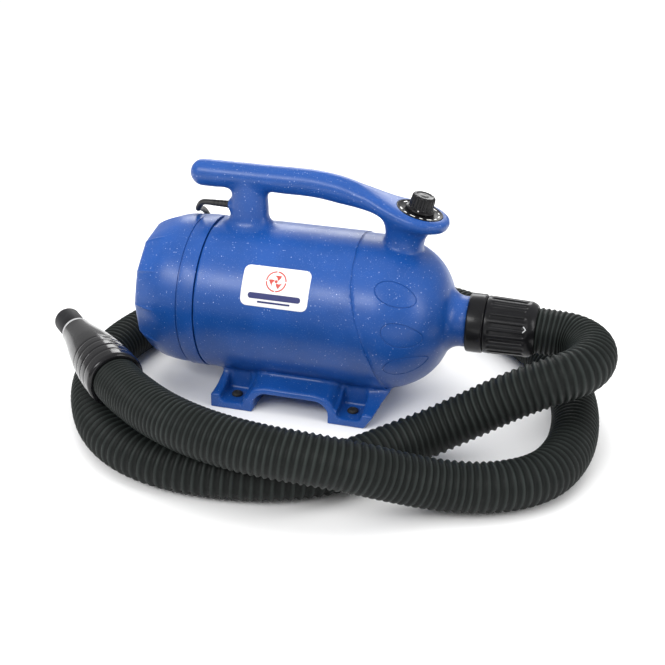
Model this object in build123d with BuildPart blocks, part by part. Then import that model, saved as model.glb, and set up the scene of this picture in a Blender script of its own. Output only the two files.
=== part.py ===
from build123d import *
import os
from math import asin, atan2, cos, degrees, pi, radians, sin, sqrt, tan

os.makedirs("parts", exist_ok=True)

# A barrel-shaped pet dryer. The air path runs along +X, out of the neck and into the hose.
# Millimetres; +Z is up; the feet stand on z = 0 and the body is centred on x = 0.

# ---- Driving dimensions ------------------------------------------------------------------
barrel_radius = 86.0
wall = 3.0
belly_height = 18.5           # the barrel's underside above the floor
cover_length = 75.0
barrel_length = 195.0        # from the cover's seam to where the dome starts
dome_radius = 76.0
neck_wall = 2.5              # the neck is this much larger than the hose
neck_fillet = 18.0
neck_length = 5.0
ring_length = 18.6
ring_wall = 7.2              # the same for the outlet ring
cuff_length = 54.4
cuff_wall = 6.3              # and for the cuff
running_gap = 0.3            # between bodies that turn or slide past each other

handle_radius = 14.8
handle_rise = 53.0           # of the bar's centre line above the barrel's top
handle_overhang = 14.2       # the bar's last centre behind the cover's seam
handle_drop = 95.0           # the bar starts to curve down this far before the dome
handle_bend_radius = 215.0
handle_bend_angle = 22.0
pad_tilt = 14.5
pad_radius = 35.0
pad_setback = 32.5           # the dial's centre beyond the start of the dome
pad_rise = 35.0              # and above the barrel's top
pad_thickness = 15.0
rear_post_x = 38.5
rear_post_half = (21.5, 16.0)
front_post_setback = 15.0    # beyond the start of the dome
front_post_half = (21.0, 22.0)
front_post_flare = 8.0
boss_radius = 7.0
boss_rise = 19.0             # of the cord's boss above the barrel's top

base_half_width = 82.0
base_lip = 15.0
base_slope_y = 38.0
base_slope_z = 30.0
base_rear = 18.0             # x of the base's ends at the floor
base_setback = 2.0           # the base's front end before the dome, at the floor
base_rear_lean = 6.0         # how far the ends lean out by the time they meet the barrel
base_front_lean = 20.0
arch_rear = 66.0
arch_setback = 43.0          # the arch's front end before the dome
arch_height = 24.0
arch_corner = 16.0
arch_roof = 6.0              # the base is this thick over the arch
arch_slope_y = 60.0          # where the part over the arch meets the barrel
arch_slope_z = 43.0
arch_shoulder = 8.0          # and how far it runs past the arch's ends
pocket_width = 27.0
pocket_floor = 8.0
pocket_depth = 35.0
foot_rear_x = 41.5
foot_setback = 19.5          # the front feet before the dome
foot_y = 62.0
foot_pad_radius = 9.0
foot_pad_height = 4.0
foot_stem_radius = 3.6
foot_head_radius = 6.2
foot_head_height = 4.0

hose_radius = 25.0
hose_wall = 3.0
cord_radius = 3.25
nozzle_length = 118.0
nozzle_wall = 5.0            # the handpiece's wide end stands this far out of the hose
nozzle_narrow_radius = 16.6
nozzle_tip_radius = 14.5
nozzle_tip_length = 32.0

dial_radius = 25.5
dial_thickness = 1.2
knob_skirt_radius = 15.8
knob_radius = 13.2
knob_top_radius = 12.2
knob_height = 17.5
knob_bore = 3.1
pot_shaft_radius = 3.0

shaft_radius = 4.0
fan_clearance = 11.5         # between the fan's shell and the barrel
impeller_clearance = 7.5     # between the impellers and the fan's shell
armature_radius = 25.0
air_gap = 0.6
commutator_radius = 15.0
bearing_radius = 11.0

band_length = 27.0           # the plain band next to the seam
step_depth = 1.2             # the cover steps in behind the band
cover_crown = 82.0           # radius of the curve in towards the rim
rim_fillet = 4.0
spigot_length = 12.0
spigot_gap = 1.6             # between the cover's spigot and the barrel
lug_reach = 1.1              # the bayonet lugs stand this far out of the spigot
lug_angle = 14.0
lug_turn = 20.0              # from the entry gate to the lock
flats = 12
flat_depth = 1.7
lug_start = 8.0              # the lugs' place along the spigot
lug_length = 3.0
gate_clearance = 2.0         # degrees each side of a lug
rib_length = 4.0

# ---- Derived places ----------------------------------------------------------------------
axis_height = barrel_radius + belly_height
neck_radius = hose_radius + neck_wall
ring_radius = hose_radius + ring_wall
cuff_radius = hose_radius + cuff_wall
nozzle_wide_radius = hose_radius + nozzle_wall
handle_height = barrel_radius + handle_rise
handle_straight = barrel_length - handle_drop
pad_x = barrel_length + pad_setback
pad_height = barrel_radius + pad_rise
front_post_x = barrel_length + front_post_setback
boss_height = barrel_radius + boss_rise
base_front = barrel_length - base_setback
arch_front = barrel_length - arch_setback
foot_front_x = barrel_length - foot_setback
bore_radius = barrel_radius - wall
fan_radius = bore_radius - fan_clearance
impeller_radius = fan_radius - impeller_clearance
spigot_radius = bore_radius - spigot_gap
dome_centre_r = barrel_radius - dome_radius
fillet_centre_r = neck_radius + neck_fillet
fillet_dr = fillet_centre_r - dome_centre_r
fillet_dx = sqrt((dome_radius + neck_fillet) ** 2 - fillet_dr ** 2)
fillet_angle = degrees(atan2(fillet_dr, fillet_dx))
housing_length = barrel_length + fillet_dx + neck_length
overall_length = cover_length + housing_length + ring_length + cuff_length
seam_x = cover_length - overall_length / 2
neck_end = seam_x + housing_length
ring_end = neck_end + ring_length
cuff_end = ring_end + cuff_length
barrel_axis = Axis((0, 0, axis_height), (1, 0, 0))
profile_plane = Plane(origin=(seam_x, 0, axis_height), x_dir=(1, 0, 0), z_dir=(0, -1, 0))
standing = (Align.CENTER, Align.CENTER, Align.MIN)


def across(x):
    """A plane square to the barrel's axis, x measured from the cover's seam; its local x is +Y."""
    return Plane(origin=(seam_x + x, 0, axis_height), x_dir=(0, 1, 0), z_dir=(1, 0, 0))


def ring(x, length, outer, inner):
    """A plain ring or disc on the barrel's axis."""
    with BuildPart() as piece:
        with BuildSketch(across(x)):
            Circle(outer)
            if inner > 0:
                Circle(inner, mode=Mode.SUBTRACT)
        extrude(amount=length)
    return piece.part


def shell_outline(inset, start, end):
    """Half the barrel's section: cylinder, round dome, hollow fillet and neck, inset from the outside."""
    dome_turn = fillet_angle - 90
    with BuildLine() as line:
        Line((start, 0), (start, barrel_radius - inset))
        Line((start, barrel_radius - inset), (barrel_length, barrel_radius - inset))
        dome = CenterArc((barrel_length, dome_centre_r), dome_radius - inset, 90, dome_turn)
        neck = CenterArc(
            (barrel_length + fillet_dx, fillet_centre_r), neck_fillet + inset, fillet_angle + 180, -dome_turn
        )
        Line(neck @ 1, (end, neck_radius - inset))
        Line((end, neck_radius - inset), (end, 0))
        Line((end, 0), (start, 0))
    return line.line


def ring_sector(start_angle, sweep_angle, outer, inner):
    """A piece of a ring in the current sketch, between two angles."""
    with BuildLine() as line:
        outside = CenterArc((0, 0), outer, start_angle, sweep_angle)
        inside = CenterArc((0, 0), inner, start_angle, sweep_angle)
        Line(outside @ 0, inside @ 0)
        Line(outside @ 1, inside @ 1)
    return make_face(line.line.edges())


# ---- Main housing ------------------------------------------------------------------------
pad_plane = Plane(
    origin=(seam_x + pad_x, 0, axis_height + pad_height),
    x_dir=(cos(radians(pad_tilt)), 0, -sin(radians(pad_tilt))),
    z_dir=(sin(radians(pad_tilt)), 0, cos(radians(pad_tilt))),
)
handle_z = axis_height + handle_height
handle_start = (seam_x - handle_overhang, 0, handle_z)
handle_plane = Plane(origin=handle_start, x_dir=(0, 1, 0), z_dir=(1, 0, 0))
pad_reach = 62.0             # from the dial's centre back to where the pad narrows to the bar
pad_core_reach = 48.0        # the same for the hollow inside
post_root = axis_height + barrel_radius - 20
boss_length = 3.5
bush_radius = 4.6
relief_radius = 5.0


def handle_path():
    """The bar's centre line: straight, then one wide arc down into the pad."""
    with BuildLine(Plane(origin=handle_start, x_dir=(1, 0, 0), z_dir=(0, -1, 0))) as path:
        straight = Line((0, 0), (handle_overhang + handle_straight, 0))
        JernArc(start=straight @ 1, tangent=(1, 0), radius=handle_bend_radius, arc_size=-handle_bend_angle)
    return path.line


with BuildPart() as base:
    with BuildSketch(across(0)):
        with BuildLine():
            Polyline(
                (-base_half_width, -axis_height),
                (-base_half_width, base_lip - axis_height),
                (-base_slope_y, base_slope_z - axis_height),
                (base_slope_y, base_slope_z - axis_height),
                (base_half_width, base_lip - axis_height),
                (base_half_width, -axis_height),
                close=True,
            )
        make_face()
    extrude(amount=base_front + base_front_lean)
    # Over the arch the sides rise to keep their thickness.
    with BuildSketch(across(arch_rear - arch_shoulder)):
        with BuildLine():
            Polyline(
                (-base_half_width, -axis_height),
                (-base_half_width, arch_height + arch_roof - axis_height),
                (-arch_slope_y, arch_slope_z - axis_height),
                (arch_slope_y, arch_slope_z - axis_height),
                (base_half_width, arch_height + arch_roof - axis_height),
                (base_half_width, -axis_height),
                close=True,
            )
        make_face()
    extrude(amount=arch_front - arch_rear + 2 * arch_shoulder)
    with BuildSketch(profile_plane) as ends:
        with BuildLine():
            Polyline(
                (base_rear, -axis_height),
                (base_front, -axis_height),
                (base_front + base_front_lean, base_slope_z - axis_height),
                (base_front + base_front_lean, arch_slope_z - axis_height),
                (base_rear - base_rear_lean, arch_slope_z - axis_height),
                (base_rear - base_rear_lean, base_slope_z - axis_height),
                close=True,
            )
        make_face()
    extrude(amount=base_half_width, both=True, mode=Mode.INTERSECT)
    with BuildSketch(profile_plane) as arch:
        with Locations(((arch_rear + arch_front) / 2, -axis_height)):
            Rectangle(arch_front - arch_rear, 2 * arch_height)
        fillet(arch.vertices().group_by(Axis.Z)[-1], arch_corner)
    extrude(amount=base_half_width, both=True, mode=Mode.SUBTRACT)
    for foot_x in (foot_rear_x, foot_front_x):
        for side in (-1, 1):
            with BuildSketch(Plane.XY.offset(pocket_floor)):
                with Locations((seam_x + foot_x, side * (base_half_width - pocket_depth / 2))):
                    Rectangle(pocket_width, pocket_depth)
            extrude(amount=base_slope_z, mode=Mode.SUBTRACT)
            with Locations((seam_x + foot_x, side * foot_y, 0)):
                Cylinder(
                    foot_pad_radius, 2 * (foot_pad_height - 1), mode=Mode.SUBTRACT
                )
                Cylinder(foot_stem_radius, 2 * pocket_floor, mode=Mode.SUBTRACT)
    # The middle of the underside is open, so that each foot is a box with its own walls.
    with BuildSketch(Plane.XY):
        with Locations((seam_x + (base_rear + base_front) / 2, 0)):
            Rectangle(base_front - base_rear - 2 * wall, 2 * (base_half_width - pocket_depth - wall))
    extrude(amount=base_slope_z - wall, mode=Mode.SUBTRACT)

with BuildPart() as cavity:
    with BuildSketch(profile_plane):
        add(shell_outline(wall, -1, housing_length + 1))
        make_face()
    revolve(axis=barrel_axis)
    with BuildLine():
        add(handle_path())
    with BuildSketch(handle_plane):
        Circle(handle_radius - wall)
    sweep()
    with BuildSketch(pad_plane.offset(-pad_thickness + wall)):
        Circle(pad_radius - wall - 2)
        with Locations((-pad_core_reach, 0)):
            Circle(handle_radius - wall - 2)
        make_hull()
    extrude(amount=pad_thickness - 2 * wall)
    with BuildSketch(Plane.XY.offset(post_root)):
        with Locations((seam_x + front_post_x, 0)):
            Ellipse(front_post_half[0] - wall, front_post_half[1] - wall)
    extrude(amount=axis_height + pad_height - pad_thickness + wall + 3 - post_root)
    with BuildSketch(Plane.XY.offset(post_root)):
        with Locations((seam_x + rear_post_x, 0)):
            Ellipse(rear_post_half[0] - wall, rear_post_half[1] - wall)
    extrude(amount=handle_z - post_root)

with BuildPart() as main_housing:
    with BuildSketch(profile_plane):
        add(shell_outline(0, 0, housing_length))
        make_face()
    revolve(axis=barrel_axis)
    with BuildLine():
        add(handle_path())
    with BuildSketch(handle_plane):
        Circle(handle_radius)
    sweep()
    with Locations(handle_start):
        Sphere(handle_radius)
    with BuildSketch(pad_plane.offset(-pad_thickness)):
        Circle(pad_radius)
        with Locations((-pad_reach, 0)):
            Circle(handle_radius - 1)
        make_hull()
    extrude(amount=pad_thickness)
    # The front post flares out as it rises to meet the pad.
    with BuildSketch(Plane.XY.offset(post_root)):
        with Locations((seam_x + front_post_x, 0)):
            Ellipse(*front_post_half)
    with BuildSketch(pad_plane.offset(-pad_thickness / 2)):
        with Locations((front_post_x - pad_x + front_post_flare, 0)):
            Ellipse(front_post_half[0] + front_post_flare, front_post_half[1] + front_post_flare)
    loft()
    with BuildSketch(Plane.XY.offset(post_root)):
        with Locations((seam_x + rear_post_x, 0)):
            Ellipse(*rear_post_half)
    extrude(amount=handle_z - post_root)
    with BuildSketch(across(rear_post_x - rear_post_half[0] - boss_length)):
        with Locations((0, boss_height)):
            Circle(boss_radius)
    extrude(amount=boss_length + rear_post_half[0])
    add(base.part)
    add(cavity.part, mode=Mode.SUBTRACT)
    # Three ribs inside the mouth, with gates between them for the cover's bayonet lugs.
    with BuildSketch(across(lug_start - 0.5 - rib_length)):
        for k in range(3):
            gate = lug_angle / 2 + gate_clearance
            ring_sector(120 * k + gate, 120 - 2 * gate, barrel_radius - wall + 0.5, spigot_radius + 0.4)
    extrude(amount=rib_length)
    # Recess for the dial, and the hole for the speed control's bush.
    with BuildSketch(pad_plane):
        Circle(dial_radius + 0.3)
    extrude(amount=-dial_thickness, mode=Mode.SUBTRACT)
    with BuildSketch(pad_plane):
        Circle(bush_radius + 0.2)
    extrude(amount=-2 * wall, mode=Mode.SUBTRACT)
    # The cord's way in through the boss.
    with BuildSketch(across(rear_post_x - rear_post_half[0] - boss_length)):
        with Locations((0, boss_height)):
            Circle(relief_radius + 0.2)
    extrude(amount=boss_length + rear_post_half[0], mode=Mode.SUBTRACT)
main_housing.part.label = "main_housing"
export_step(main_housing.part, "parts/main_housing.step")

# ---- Feet --------------------------------------------------------------------------------
# Each rubber foot is a pad under the base with a stem up through it and a mushroom head on top.
with BuildPart() as rubber_feet:
    for foot_x in (foot_rear_x, foot_front_x):
        for side in (-1, 1):
            with Locations((seam_x + foot_x, side * foot_y, 0)):
                Cylinder(foot_pad_radius - 0.2, foot_pad_height - 1, align=standing)
                Cylinder(foot_stem_radius - 0.1, pocket_floor + 1, align=standing)
            with Locations((seam_x + foot_x, side * foot_y, pocket_floor)):
                Cylinder(foot_head_radius, foot_head_height, align=standing)
    fillet(rubber_feet.edges().group_by(Axis.Z)[-1], 2.0)
rubber_feet.part.label = "rubber_feet"
export_step(rubber_feet.part, "parts/rubber_feet.step")

# ---- Rear cover --------------------------------------------------------------------------
crown_run = cover_length - band_length
rim_radius = barrel_radius - step_depth - cover_crown + sqrt(cover_crown ** 2 - crown_run ** 2)
crown_turn = degrees(asin(crown_run / cover_crown))
rim_margin = 19.3            # from the rim to the middle of the outer ring of slots
slot_pitch = 16.0            # from one ring of slots to the next
slot_length = 13.0
slot_width = 3.2


def cover_outline(inset, back):
    """Half the cover's section: band, step, crowned side and flat back."""
    crown_centre = (-band_length, barrel_radius - step_depth - cover_crown)
    with BuildLine() as line:
        crown = CenterArc(crown_centre, cover_crown - inset, 90, crown_turn)
        Polyline(
            (-running_gap, 0),
            (-running_gap, barrel_radius - inset),
            (-band_length, barrel_radius - inset),
            crown @ 0,
        )
        Polyline(crown @ 1, (back, (crown @ 1).Y), (back, 0), (-running_gap, 0))
    return line.line


with BuildPart() as rear_cover:
    with BuildSketch(profile_plane):
        add(cover_outline(0, -cover_length))
        make_face()
    revolve(axis=barrel_axis)
    fillet(rear_cover.edges().group_by(Axis.X)[0], rim_fillet)
    with BuildSketch(profile_plane):
        add(cover_outline(wall, -cover_length + wall))
        make_face()
    revolve(axis=barrel_axis, mode=Mode.SUBTRACT)
    # The band's mouth is open; a spigot with three lugs reaches into the housing.
    add(ring(-running_gap - 1, 2, barrel_radius - wall, 0), mode=Mode.SUBTRACT)
    add(ring(-wall - running_gap, wall + running_gap + spigot_length, spigot_radius, spigot_radius - 2))
    add(ring(-wall - running_gap, wall, barrel_radius - 0.5, spigot_radius - 2))
    with BuildSketch(across(lug_start)):
        for k in range(3):
            ring_sector(120 * k - lug_angle / 2, lug_angle, spigot_radius + lug_reach, spigot_radius - 1)
    extrude(amount=lug_length)
    # Twelve shallow flats round the rim leave a ridge between each pair.
    flat_plane = Plane(
        origin=(seam_x - cover_length, 0, axis_height + rim_radius - flat_depth),
        x_dir=(0, 1, 0),
        z_dir=(-sin(radians(crown_turn - 6)), 0, cos(radians(crown_turn - 6))),
    )
    with BuildPart(mode=Mode.PRIVATE) as flat:
        with BuildSketch(flat_plane):
            Rectangle(60, 60)
        extrude(amount=20)
    for k in range(flats):
        add(flat.part.rotate(barrel_axis, 360 / flats * (k + 0.5)), mode=Mode.SUBTRACT)
    # Air comes in through rings of slots in the flat back.
    with BuildSketch(across(-cover_length)):
        for ring_index, count in enumerate((30, 20, 10)):
            with PolarLocations(rim_radius - rim_margin - slot_pitch * ring_index, count):
                SlotOverall(slot_length, slot_width)
    extrude(amount=wall, mode=Mode.SUBTRACT)
rear_cover.part.label = "rear_cover"
export_step(rear_cover.part, "parts/rear_cover.step")

# ---- Filter cartridge, carried inside the cover --------------------------------------------
filter_x = -44.0
filter_depth = 14.0
filter_radius = spigot_radius - 2 - 0.6
with BuildPart() as filter_frame:
    add(ring(filter_x, filter_depth + 4, filter_radius, filter_radius - 2.5))
    add(ring(filter_x + filter_depth + 2, 2, filter_radius, filter_radius - 7))
    with BuildSketch(across(filter_x)):
        with PolarLocations(0, 3):
            Rectangle(2 * filter_radius - 4, 3)
    extrude(amount=2)
filter_frame.part.label = "filter_frame"
export_step(filter_frame.part, "parts/filter_frame.step")

foam_filter = ring(filter_x + 2, filter_depth - 2, filter_radius - 2.5, 0)
foam_filter.label = "foam_filter"
export_step(foam_filter, "parts/foam_filter.step")

mesh_screen = ring(filter_x + filter_depth, 1, filter_radius - 2.5, 0)
mesh_screen.label = "mesh_screen"
export_step(mesh_screen, "parts/mesh_screen.step")

# ---- Outlet ring and hose cuff -----------------------------------------------------------
outlet_bore = neck_radius - wall
neck_grip = 12.0             # the ring's sleeve reaches this far into the neck
with BuildPart() as outlet_ring:
    add(ring(housing_length, ring_length, ring_radius, outlet_bore - 1.5))
    fillet(outlet_ring.edges().filter_by(GeomType.CIRCLE).group_by(SortBy.RADIUS)[-1], 2.0)
    add(ring(housing_length - neck_grip, neck_grip, outlet_bore, outlet_bore - 1.5))
    add(ring(housing_length + ring_length, 14, hose_radius + 1.0, outlet_bore - 1.5))
outlet_ring.part.label = "outlet_ring"
export_step(outlet_ring.part, "parts/outlet_ring.step")

flutes = 22
flute_depth = 1.6
flute_width = 4.6
shoulder_length = 8.0
hose_grip = 14.0             # the hose reaches this far into the cuff
cuff_start = housing_length + ring_length + running_gap
with BuildPart() as hose_cuff:
    with BuildSketch(across(cuff_start)):
        Circle(cuff_radius)
    with BuildSketch(across(cuff_start + cuff_length - running_gap - shoulder_length)):
        Circle(cuff_radius - 1.2)
    loft()
    with BuildSketch(across(cuff_start + cuff_length - running_gap - shoulder_length)):
        Circle(cuff_radius - 1.2)
    extrude(amount=shoulder_length, taper=18)
    with BuildSketch(across(cuff_start + 5)):
        with PolarLocations(cuff_radius, flutes):
            Ellipse(flute_depth, flute_width / 2)
    extrude(amount=cuff_length - shoulder_length - 12, mode=Mode.SUBTRACT)
    add(ring(cuff_start - 1, cuff_length + 2, hose_radius + running_gap, 0), mode=Mode.SUBTRACT)
    add(ring(cuff_start - 1, 16, hose_radius + 1.0 + running_gap, 0), mode=Mode.SUBTRACT)
hose_cuff.part.label = "hose_cuff"
export_step(hose_cuff.part, "parts/hose_cuff.step")

# ---- Hose and handpiece --------------------------------------------------------------------
# The hose's route from inside the cuff, out, round to the front, under itself, round the back and
# over itself to the handpiece. Its straight runs are joined by tangent arcs.
hose_route = [
    (cuff_end - hose_grip, 0, axis_height), (230, 0, 104.5), (258, -4, 104.5), (277, -23, 104.5),
    (282, -51, 103.5), (272, -78, 101.5), (246, -95, 95.5), (209, -104, 78.5), (170, -112, 54.5),
    (129, -126, 32.5), (97, -152, 25), (71, -186, 25), (39, -218, 25), (-5, -240, 25), (-57, -249, 25),
    (-109, -248, 25), (-159, -232, 25), (-200, -200, 25), (-231, -155, 25), (-254, -104, 25),
    (-265, -50, 25), (-264, 4, 25), (-249, 60, 25), (-218, 112, 25), (-174, 156, 25), (-118, 190, 25),
    (-58, 214, 25), (4, 226, 25), (66, 222, 25), (124, 200, 25), (174, 163, 25), (216, 116, 25),
    (246, 62, 25), (264, 6, 25), (272, -52, 25), (270, -110, 25), (252, -163, 25), (211, -196, 25.5),
    (163, -213, 29), (121, -233, 43.5), (83, -254, 60.5), (43, -267, 70), (-1, -270, 72.5),
    (-45, -266, 74.5), (-85, -256, 76.5), (-121, -238, 76.5), (-151, -217, 76.5), (-174.7, -199.1, 77),
    (-192.6, -181.6, 78),
]
nozzle_base = Vector(-184, -190, 77.5)
nozzle_aim = Vector(-0.715, 0.698, 0.04).normalized()


def arc_radii(points):
    """Each corner's arc: 0.45 of its shorter run over the tangent of half its turn."""
    radii = []
    for before, corner, after in zip(points, points[1:], points[2:]):
        arriving = Vector(*corner) - Vector(*before)
        leaving = Vector(*after) - Vector(*corner)
        half_turn = radians(arriving.get_angle(leaving)) / 2
        radii.append(0.45 * min(arriving.length, leaving.length) / tan(half_turn))
    return radii


def tube(points, outer, inner):
    """A round tube along straight runs and tangent arcs, hollow if inner is not zero."""
    radii = arc_radii(points)
    print("arc radii", [round(radius) for radius in radii])
    with BuildPart() as piece:
        with BuildLine():
            path = FilletPolyline(*points, radius=radii)
        with BuildSketch(Plane(origin=points[0], z_dir=path % 0)):
            Circle(outer)
            if inner > 0:
                Circle(inner, mode=Mode.SUBTRACT)
        sweep()
    section = pi * (outer ** 2 - inner ** 2)
    print("length", round(path.length, 1), "volume / (section x length)",
          round(piece.part.volume / (section * path.length), 4))
    return piece.part


hose = tube(hose_route, hose_radius, hose_radius - hose_wall)
hose.label = "hose"
export_step(hose, "parts/hose.step")

# The handpiece's own frame: z runs along its axis from the wide end to the tip.
nozzle_plane = Plane(origin=nozzle_base, x_dir=(0, 0, 1), z_dir=nozzle_aim)
handpiece_wall = 2.5
tip_socket = 14.0            # the tip's tube goes this far into the handpiece
nozzle_grip = 15.0           # the hose goes this far in
nozzle_ring_width = 3.0
socket_gap = 0.2             # round the hose's end
tip_gap = 0.1                # round the tip
with BuildPart() as handpiece:
    with BuildSketch(Plane(origin=nozzle_base, x_dir=nozzle_plane.y_dir, z_dir=nozzle_plane.x_dir)) as half:
        with BuildLine():
            outside = Spline(
                (-nozzle_wide_radius, 6),
                (-nozzle_wide_radius + 1.2, nozzle_length * 0.3),
                (-nozzle_wide_radius + 5.5, nozzle_length * 0.62),
                (-nozzle_narrow_radius, nozzle_length),
            )
            Polyline(
                outside @ 0,
                (-nozzle_wide_radius, 0),
                (-hose_radius - socket_gap, 0),
                (-hose_radius - socket_gap, nozzle_grip),
                (-hose_radius + hose_wall, nozzle_grip + 3),
                (-nozzle_tip_radius - tip_gap, nozzle_length - tip_socket - 2),
                (-nozzle_tip_radius - tip_gap, nozzle_length),
                outside @ 1,
            )
        make_face()
    revolve(axis=Axis(nozzle_base, nozzle_aim))
handpiece.part.label = "handpiece"
export_step(handpiece.part, "parts/handpiece.step")

with BuildPart() as nozzle_ring:
    with BuildSketch(nozzle_plane.offset(nozzle_length)):
        Circle(nozzle_narrow_radius)
        Circle(nozzle_tip_radius + tip_gap, mode=Mode.SUBTRACT)
    extrude(amount=nozzle_ring_width)
    fillet(nozzle_ring.edges().filter_by(GeomType.CIRCLE).group_by(SortBy.RADIUS)[-1], 0.8)
nozzle_ring.part.label = "nozzle_ring"
export_step(nozzle_ring.part, "parts/nozzle_ring.step")

tip_wall = 1.8
tip_step = 0.1               # the hidden end is this much smaller, up to just past the ring
tip_shoulder = tip_socket + nozzle_ring_width + 0.5
with BuildPart() as nozzle_tip:
    with BuildSketch(nozzle_plane.offset(nozzle_length - tip_socket)):
        Circle(nozzle_tip_radius - tip_step)
        Circle(nozzle_tip_radius - tip_wall, mode=Mode.SUBTRACT)
    extrude(amount=tip_shoulder)
    with BuildSketch(nozzle_plane.offset(nozzle_length - tip_socket + tip_shoulder)):
        Circle(nozzle_tip_radius)
        Circle(nozzle_tip_radius - tip_wall, mode=Mode.SUBTRACT)
    extrude(amount=tip_socket + nozzle_ring_width + nozzle_tip_length - tip_shoulder)
nozzle_tip.part.label = "nozzle_tip"
export_step(nozzle_tip.part, "parts/nozzle_tip.step")

# ---- Speed control -----------------------------------------------------------------------
dial_seat = pad_plane.offset(-dial_thickness)
with BuildPart() as dial_plate:
    with BuildSketch(dial_seat):
        Circle(dial_radius)
        Circle(bush_radius, mode=Mode.SUBTRACT)
    extrude(amount=dial_thickness)
dial_plate.part.label = "dial_plate"
export_step(dial_plate.part, "parts/dial_plate.step")

pot_radius = 12.0
pot_depth = 7.5
bush_height = 5.0            # the threaded bush above the dial
nut_height = 2.2
shaft_top = 13.5
with BuildPart() as potentiometer:
    with BuildSketch(pad_plane.offset(-wall - dial_thickness)):
        Circle(pot_radius)
    extrude(amount=-pot_depth)
    with BuildSketch(pad_plane.offset(-wall - dial_thickness - pot_depth)):
        Circle(bush_radius - 0.1)
    extrude(amount=pot_depth + wall + dial_thickness + bush_height)
    with BuildSketch(pad_plane.offset(-wall - dial_thickness - pot_depth + 2)):
        Circle(pot_shaft_radius + 0.05)
    extrude(amount=pot_depth + wall + dial_thickness + bush_height, mode=Mode.SUBTRACT)
potentiometer.part.label = "potentiometer"
export_step(potentiometer.part, "parts/potentiometer.step")

with BuildPart() as bush_nut:
    with BuildSketch(pad_plane):
        RegularPolygon(6.8, 6)
        Circle(bush_radius - 0.1, mode=Mode.SUBTRACT)
    extrude(amount=nut_height)
bush_nut.part.label = "bush_nut"
export_step(bush_nut.part, "parts/bush_nut.step")

with BuildPart() as control_shaft:
    with BuildSketch(pad_plane.offset(-pot_depth)):
        Circle(pot_shaft_radius)
    extrude(amount=pot_depth + shaft_top)
control_shaft.part.label = "control_shaft"
export_step(control_shaft.part, "parts/control_shaft.step")

knob_foot = 0.4              # the knob's skirt clears the dial by this much
knob_flutes = 18
skirt_height = 3.2
with BuildPart() as speed_knob:
    with BuildSketch(pad_plane.offset(knob_foot)):
        Circle(knob_skirt_radius)
    extrude(amount=skirt_height)
    with BuildSketch(pad_plane.offset(knob_foot + skirt_height)):
        Circle(knob_radius)
    with BuildSketch(pad_plane.offset(knob_foot + knob_height)):
        Circle(knob_top_radius)
    loft()
    fillet(speed_knob.faces().sort_by(Axis.Z)[-1].edges(), 0.8)
    with BuildPart(mode=Mode.PRIVATE) as flute:
        with BuildSketch(pad_plane.offset(knob_foot + skirt_height)):
            with Locations((knob_radius + 0.3, 0)):
                Circle(1.1)
        with BuildSketch(pad_plane.offset(knob_foot + knob_height + 1)):
            with Locations((knob_top_radius + 0.2, 0)):
                Circle(1.1)
        loft()
    knob_axis = Axis(pad_plane.origin, pad_plane.z_dir)
    for k in range(knob_flutes):
        add(flute.part.rotate(knob_axis, 360 / knob_flutes * k), mode=Mode.SUBTRACT)
    with BuildSketch(pad_plane.offset(knob_foot)):
        Circle(9.5)
    extrude(amount=bush_height + 0.6, mode=Mode.SUBTRACT)
    with BuildSketch(pad_plane.offset(knob_foot)):
        Circle(knob_bore)
    extrude(amount=shaft_top + 0.2, mode=Mode.SUBTRACT)
speed_knob.part.label = "speed_knob"
export_step(speed_knob.part, "parts/speed_knob.step")

board_x = 128.0
board_length = 56.0
board_width = 40.0
board_height = 60.0          # above the barrel's axis
with BuildPart() as control_board:
    with BuildSketch(Plane.XY.offset(axis_height + board_height)):
        with Locations((seam_x + board_x, 0)):
            Rectangle(board_length, board_width)
    extrude(amount=1.6)
    with Locations((seam_x + board_x - 14, -8, axis_height + board_height + 1.6)):
        Cylinder(6, 12, align=standing)
    with Locations((seam_x + board_x - 14, 10, axis_height + board_height + 1.6)):
        Box(16, 10, 10, align=standing)
control_board.part.label = "control_board"
export_step(control_board.part, "parts/control_board.step")

with BuildPart() as heat_sink:
    with Locations((seam_x + board_x + 16, 0, axis_height + board_height + 1.6)):
        Box(20, 24, 2, align=standing)
        with GridLocations(0, 4.6, 1, 5):
            Box(20, 1.2, 12, align=standing)
heat_sink.part.label = "heat_sink"
export_step(heat_sink.part, "parts/heat_sink.step")

# ---- Power cord ----------------------------------------------------------------------------
boss_face = rear_post_x - rear_post_half[0] - boss_length
relief_length = 20.0
with BuildPart() as strain_relief:
    with BuildSketch(across(boss_face)):
        with Locations((0, boss_height)):
            Circle(relief_radius + 0.2)
    with BuildSketch(across(boss_face - relief_length)):
        with Locations((0, boss_height)):
            Circle(cord_radius + 0.5)
    loft()
    with BuildSketch(across(boss_face)):
        with Locations((0, boss_height)):
            Circle(relief_radius)
    extrude(amount=boss_length + 6)
strain_relief.part.label = "strain_relief"
export_step(strain_relief.part, "parts/strain_relief.step")

coil_centre = (-12.0, 148.0)
coil_mean_radius = 36.0
coil_half = 1.5 * 2 * cord_radius      # three cords side by side
cord_start = (seam_x + boss_face - relief_length, 0, axis_height + boss_height)
coil_near_y = coil_centre[1] - coil_mean_radius - 2 * cord_radius
cord_route = [
    cord_start, (-156, 0, 209.5), (-161.5, 1, 207), (-164.5, 5, 202), (-167.5, 14, 196.5),
    (-172.5, 34, 189.5), (-177.5, 55, 178), (-180, 72.5, 161), (-179, 84.5, 140), (-175, 91, 117),
    (-169, 94, 94), (-161, 96, 71), (-153, 98, 49), (-145, 100, 28), (-134, 102, 11), (-116, 104, 3.5),
    (-93, 104.5, cord_radius), (-68, 105, cord_radius),
    (coil_centre[0] - 17, coil_near_y, cord_radius),
]
power_cord = tube(cord_route, cord_radius, 0)
power_cord.label = "power_cord"
export_step(power_cord, "parts/power_cord.step")

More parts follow.
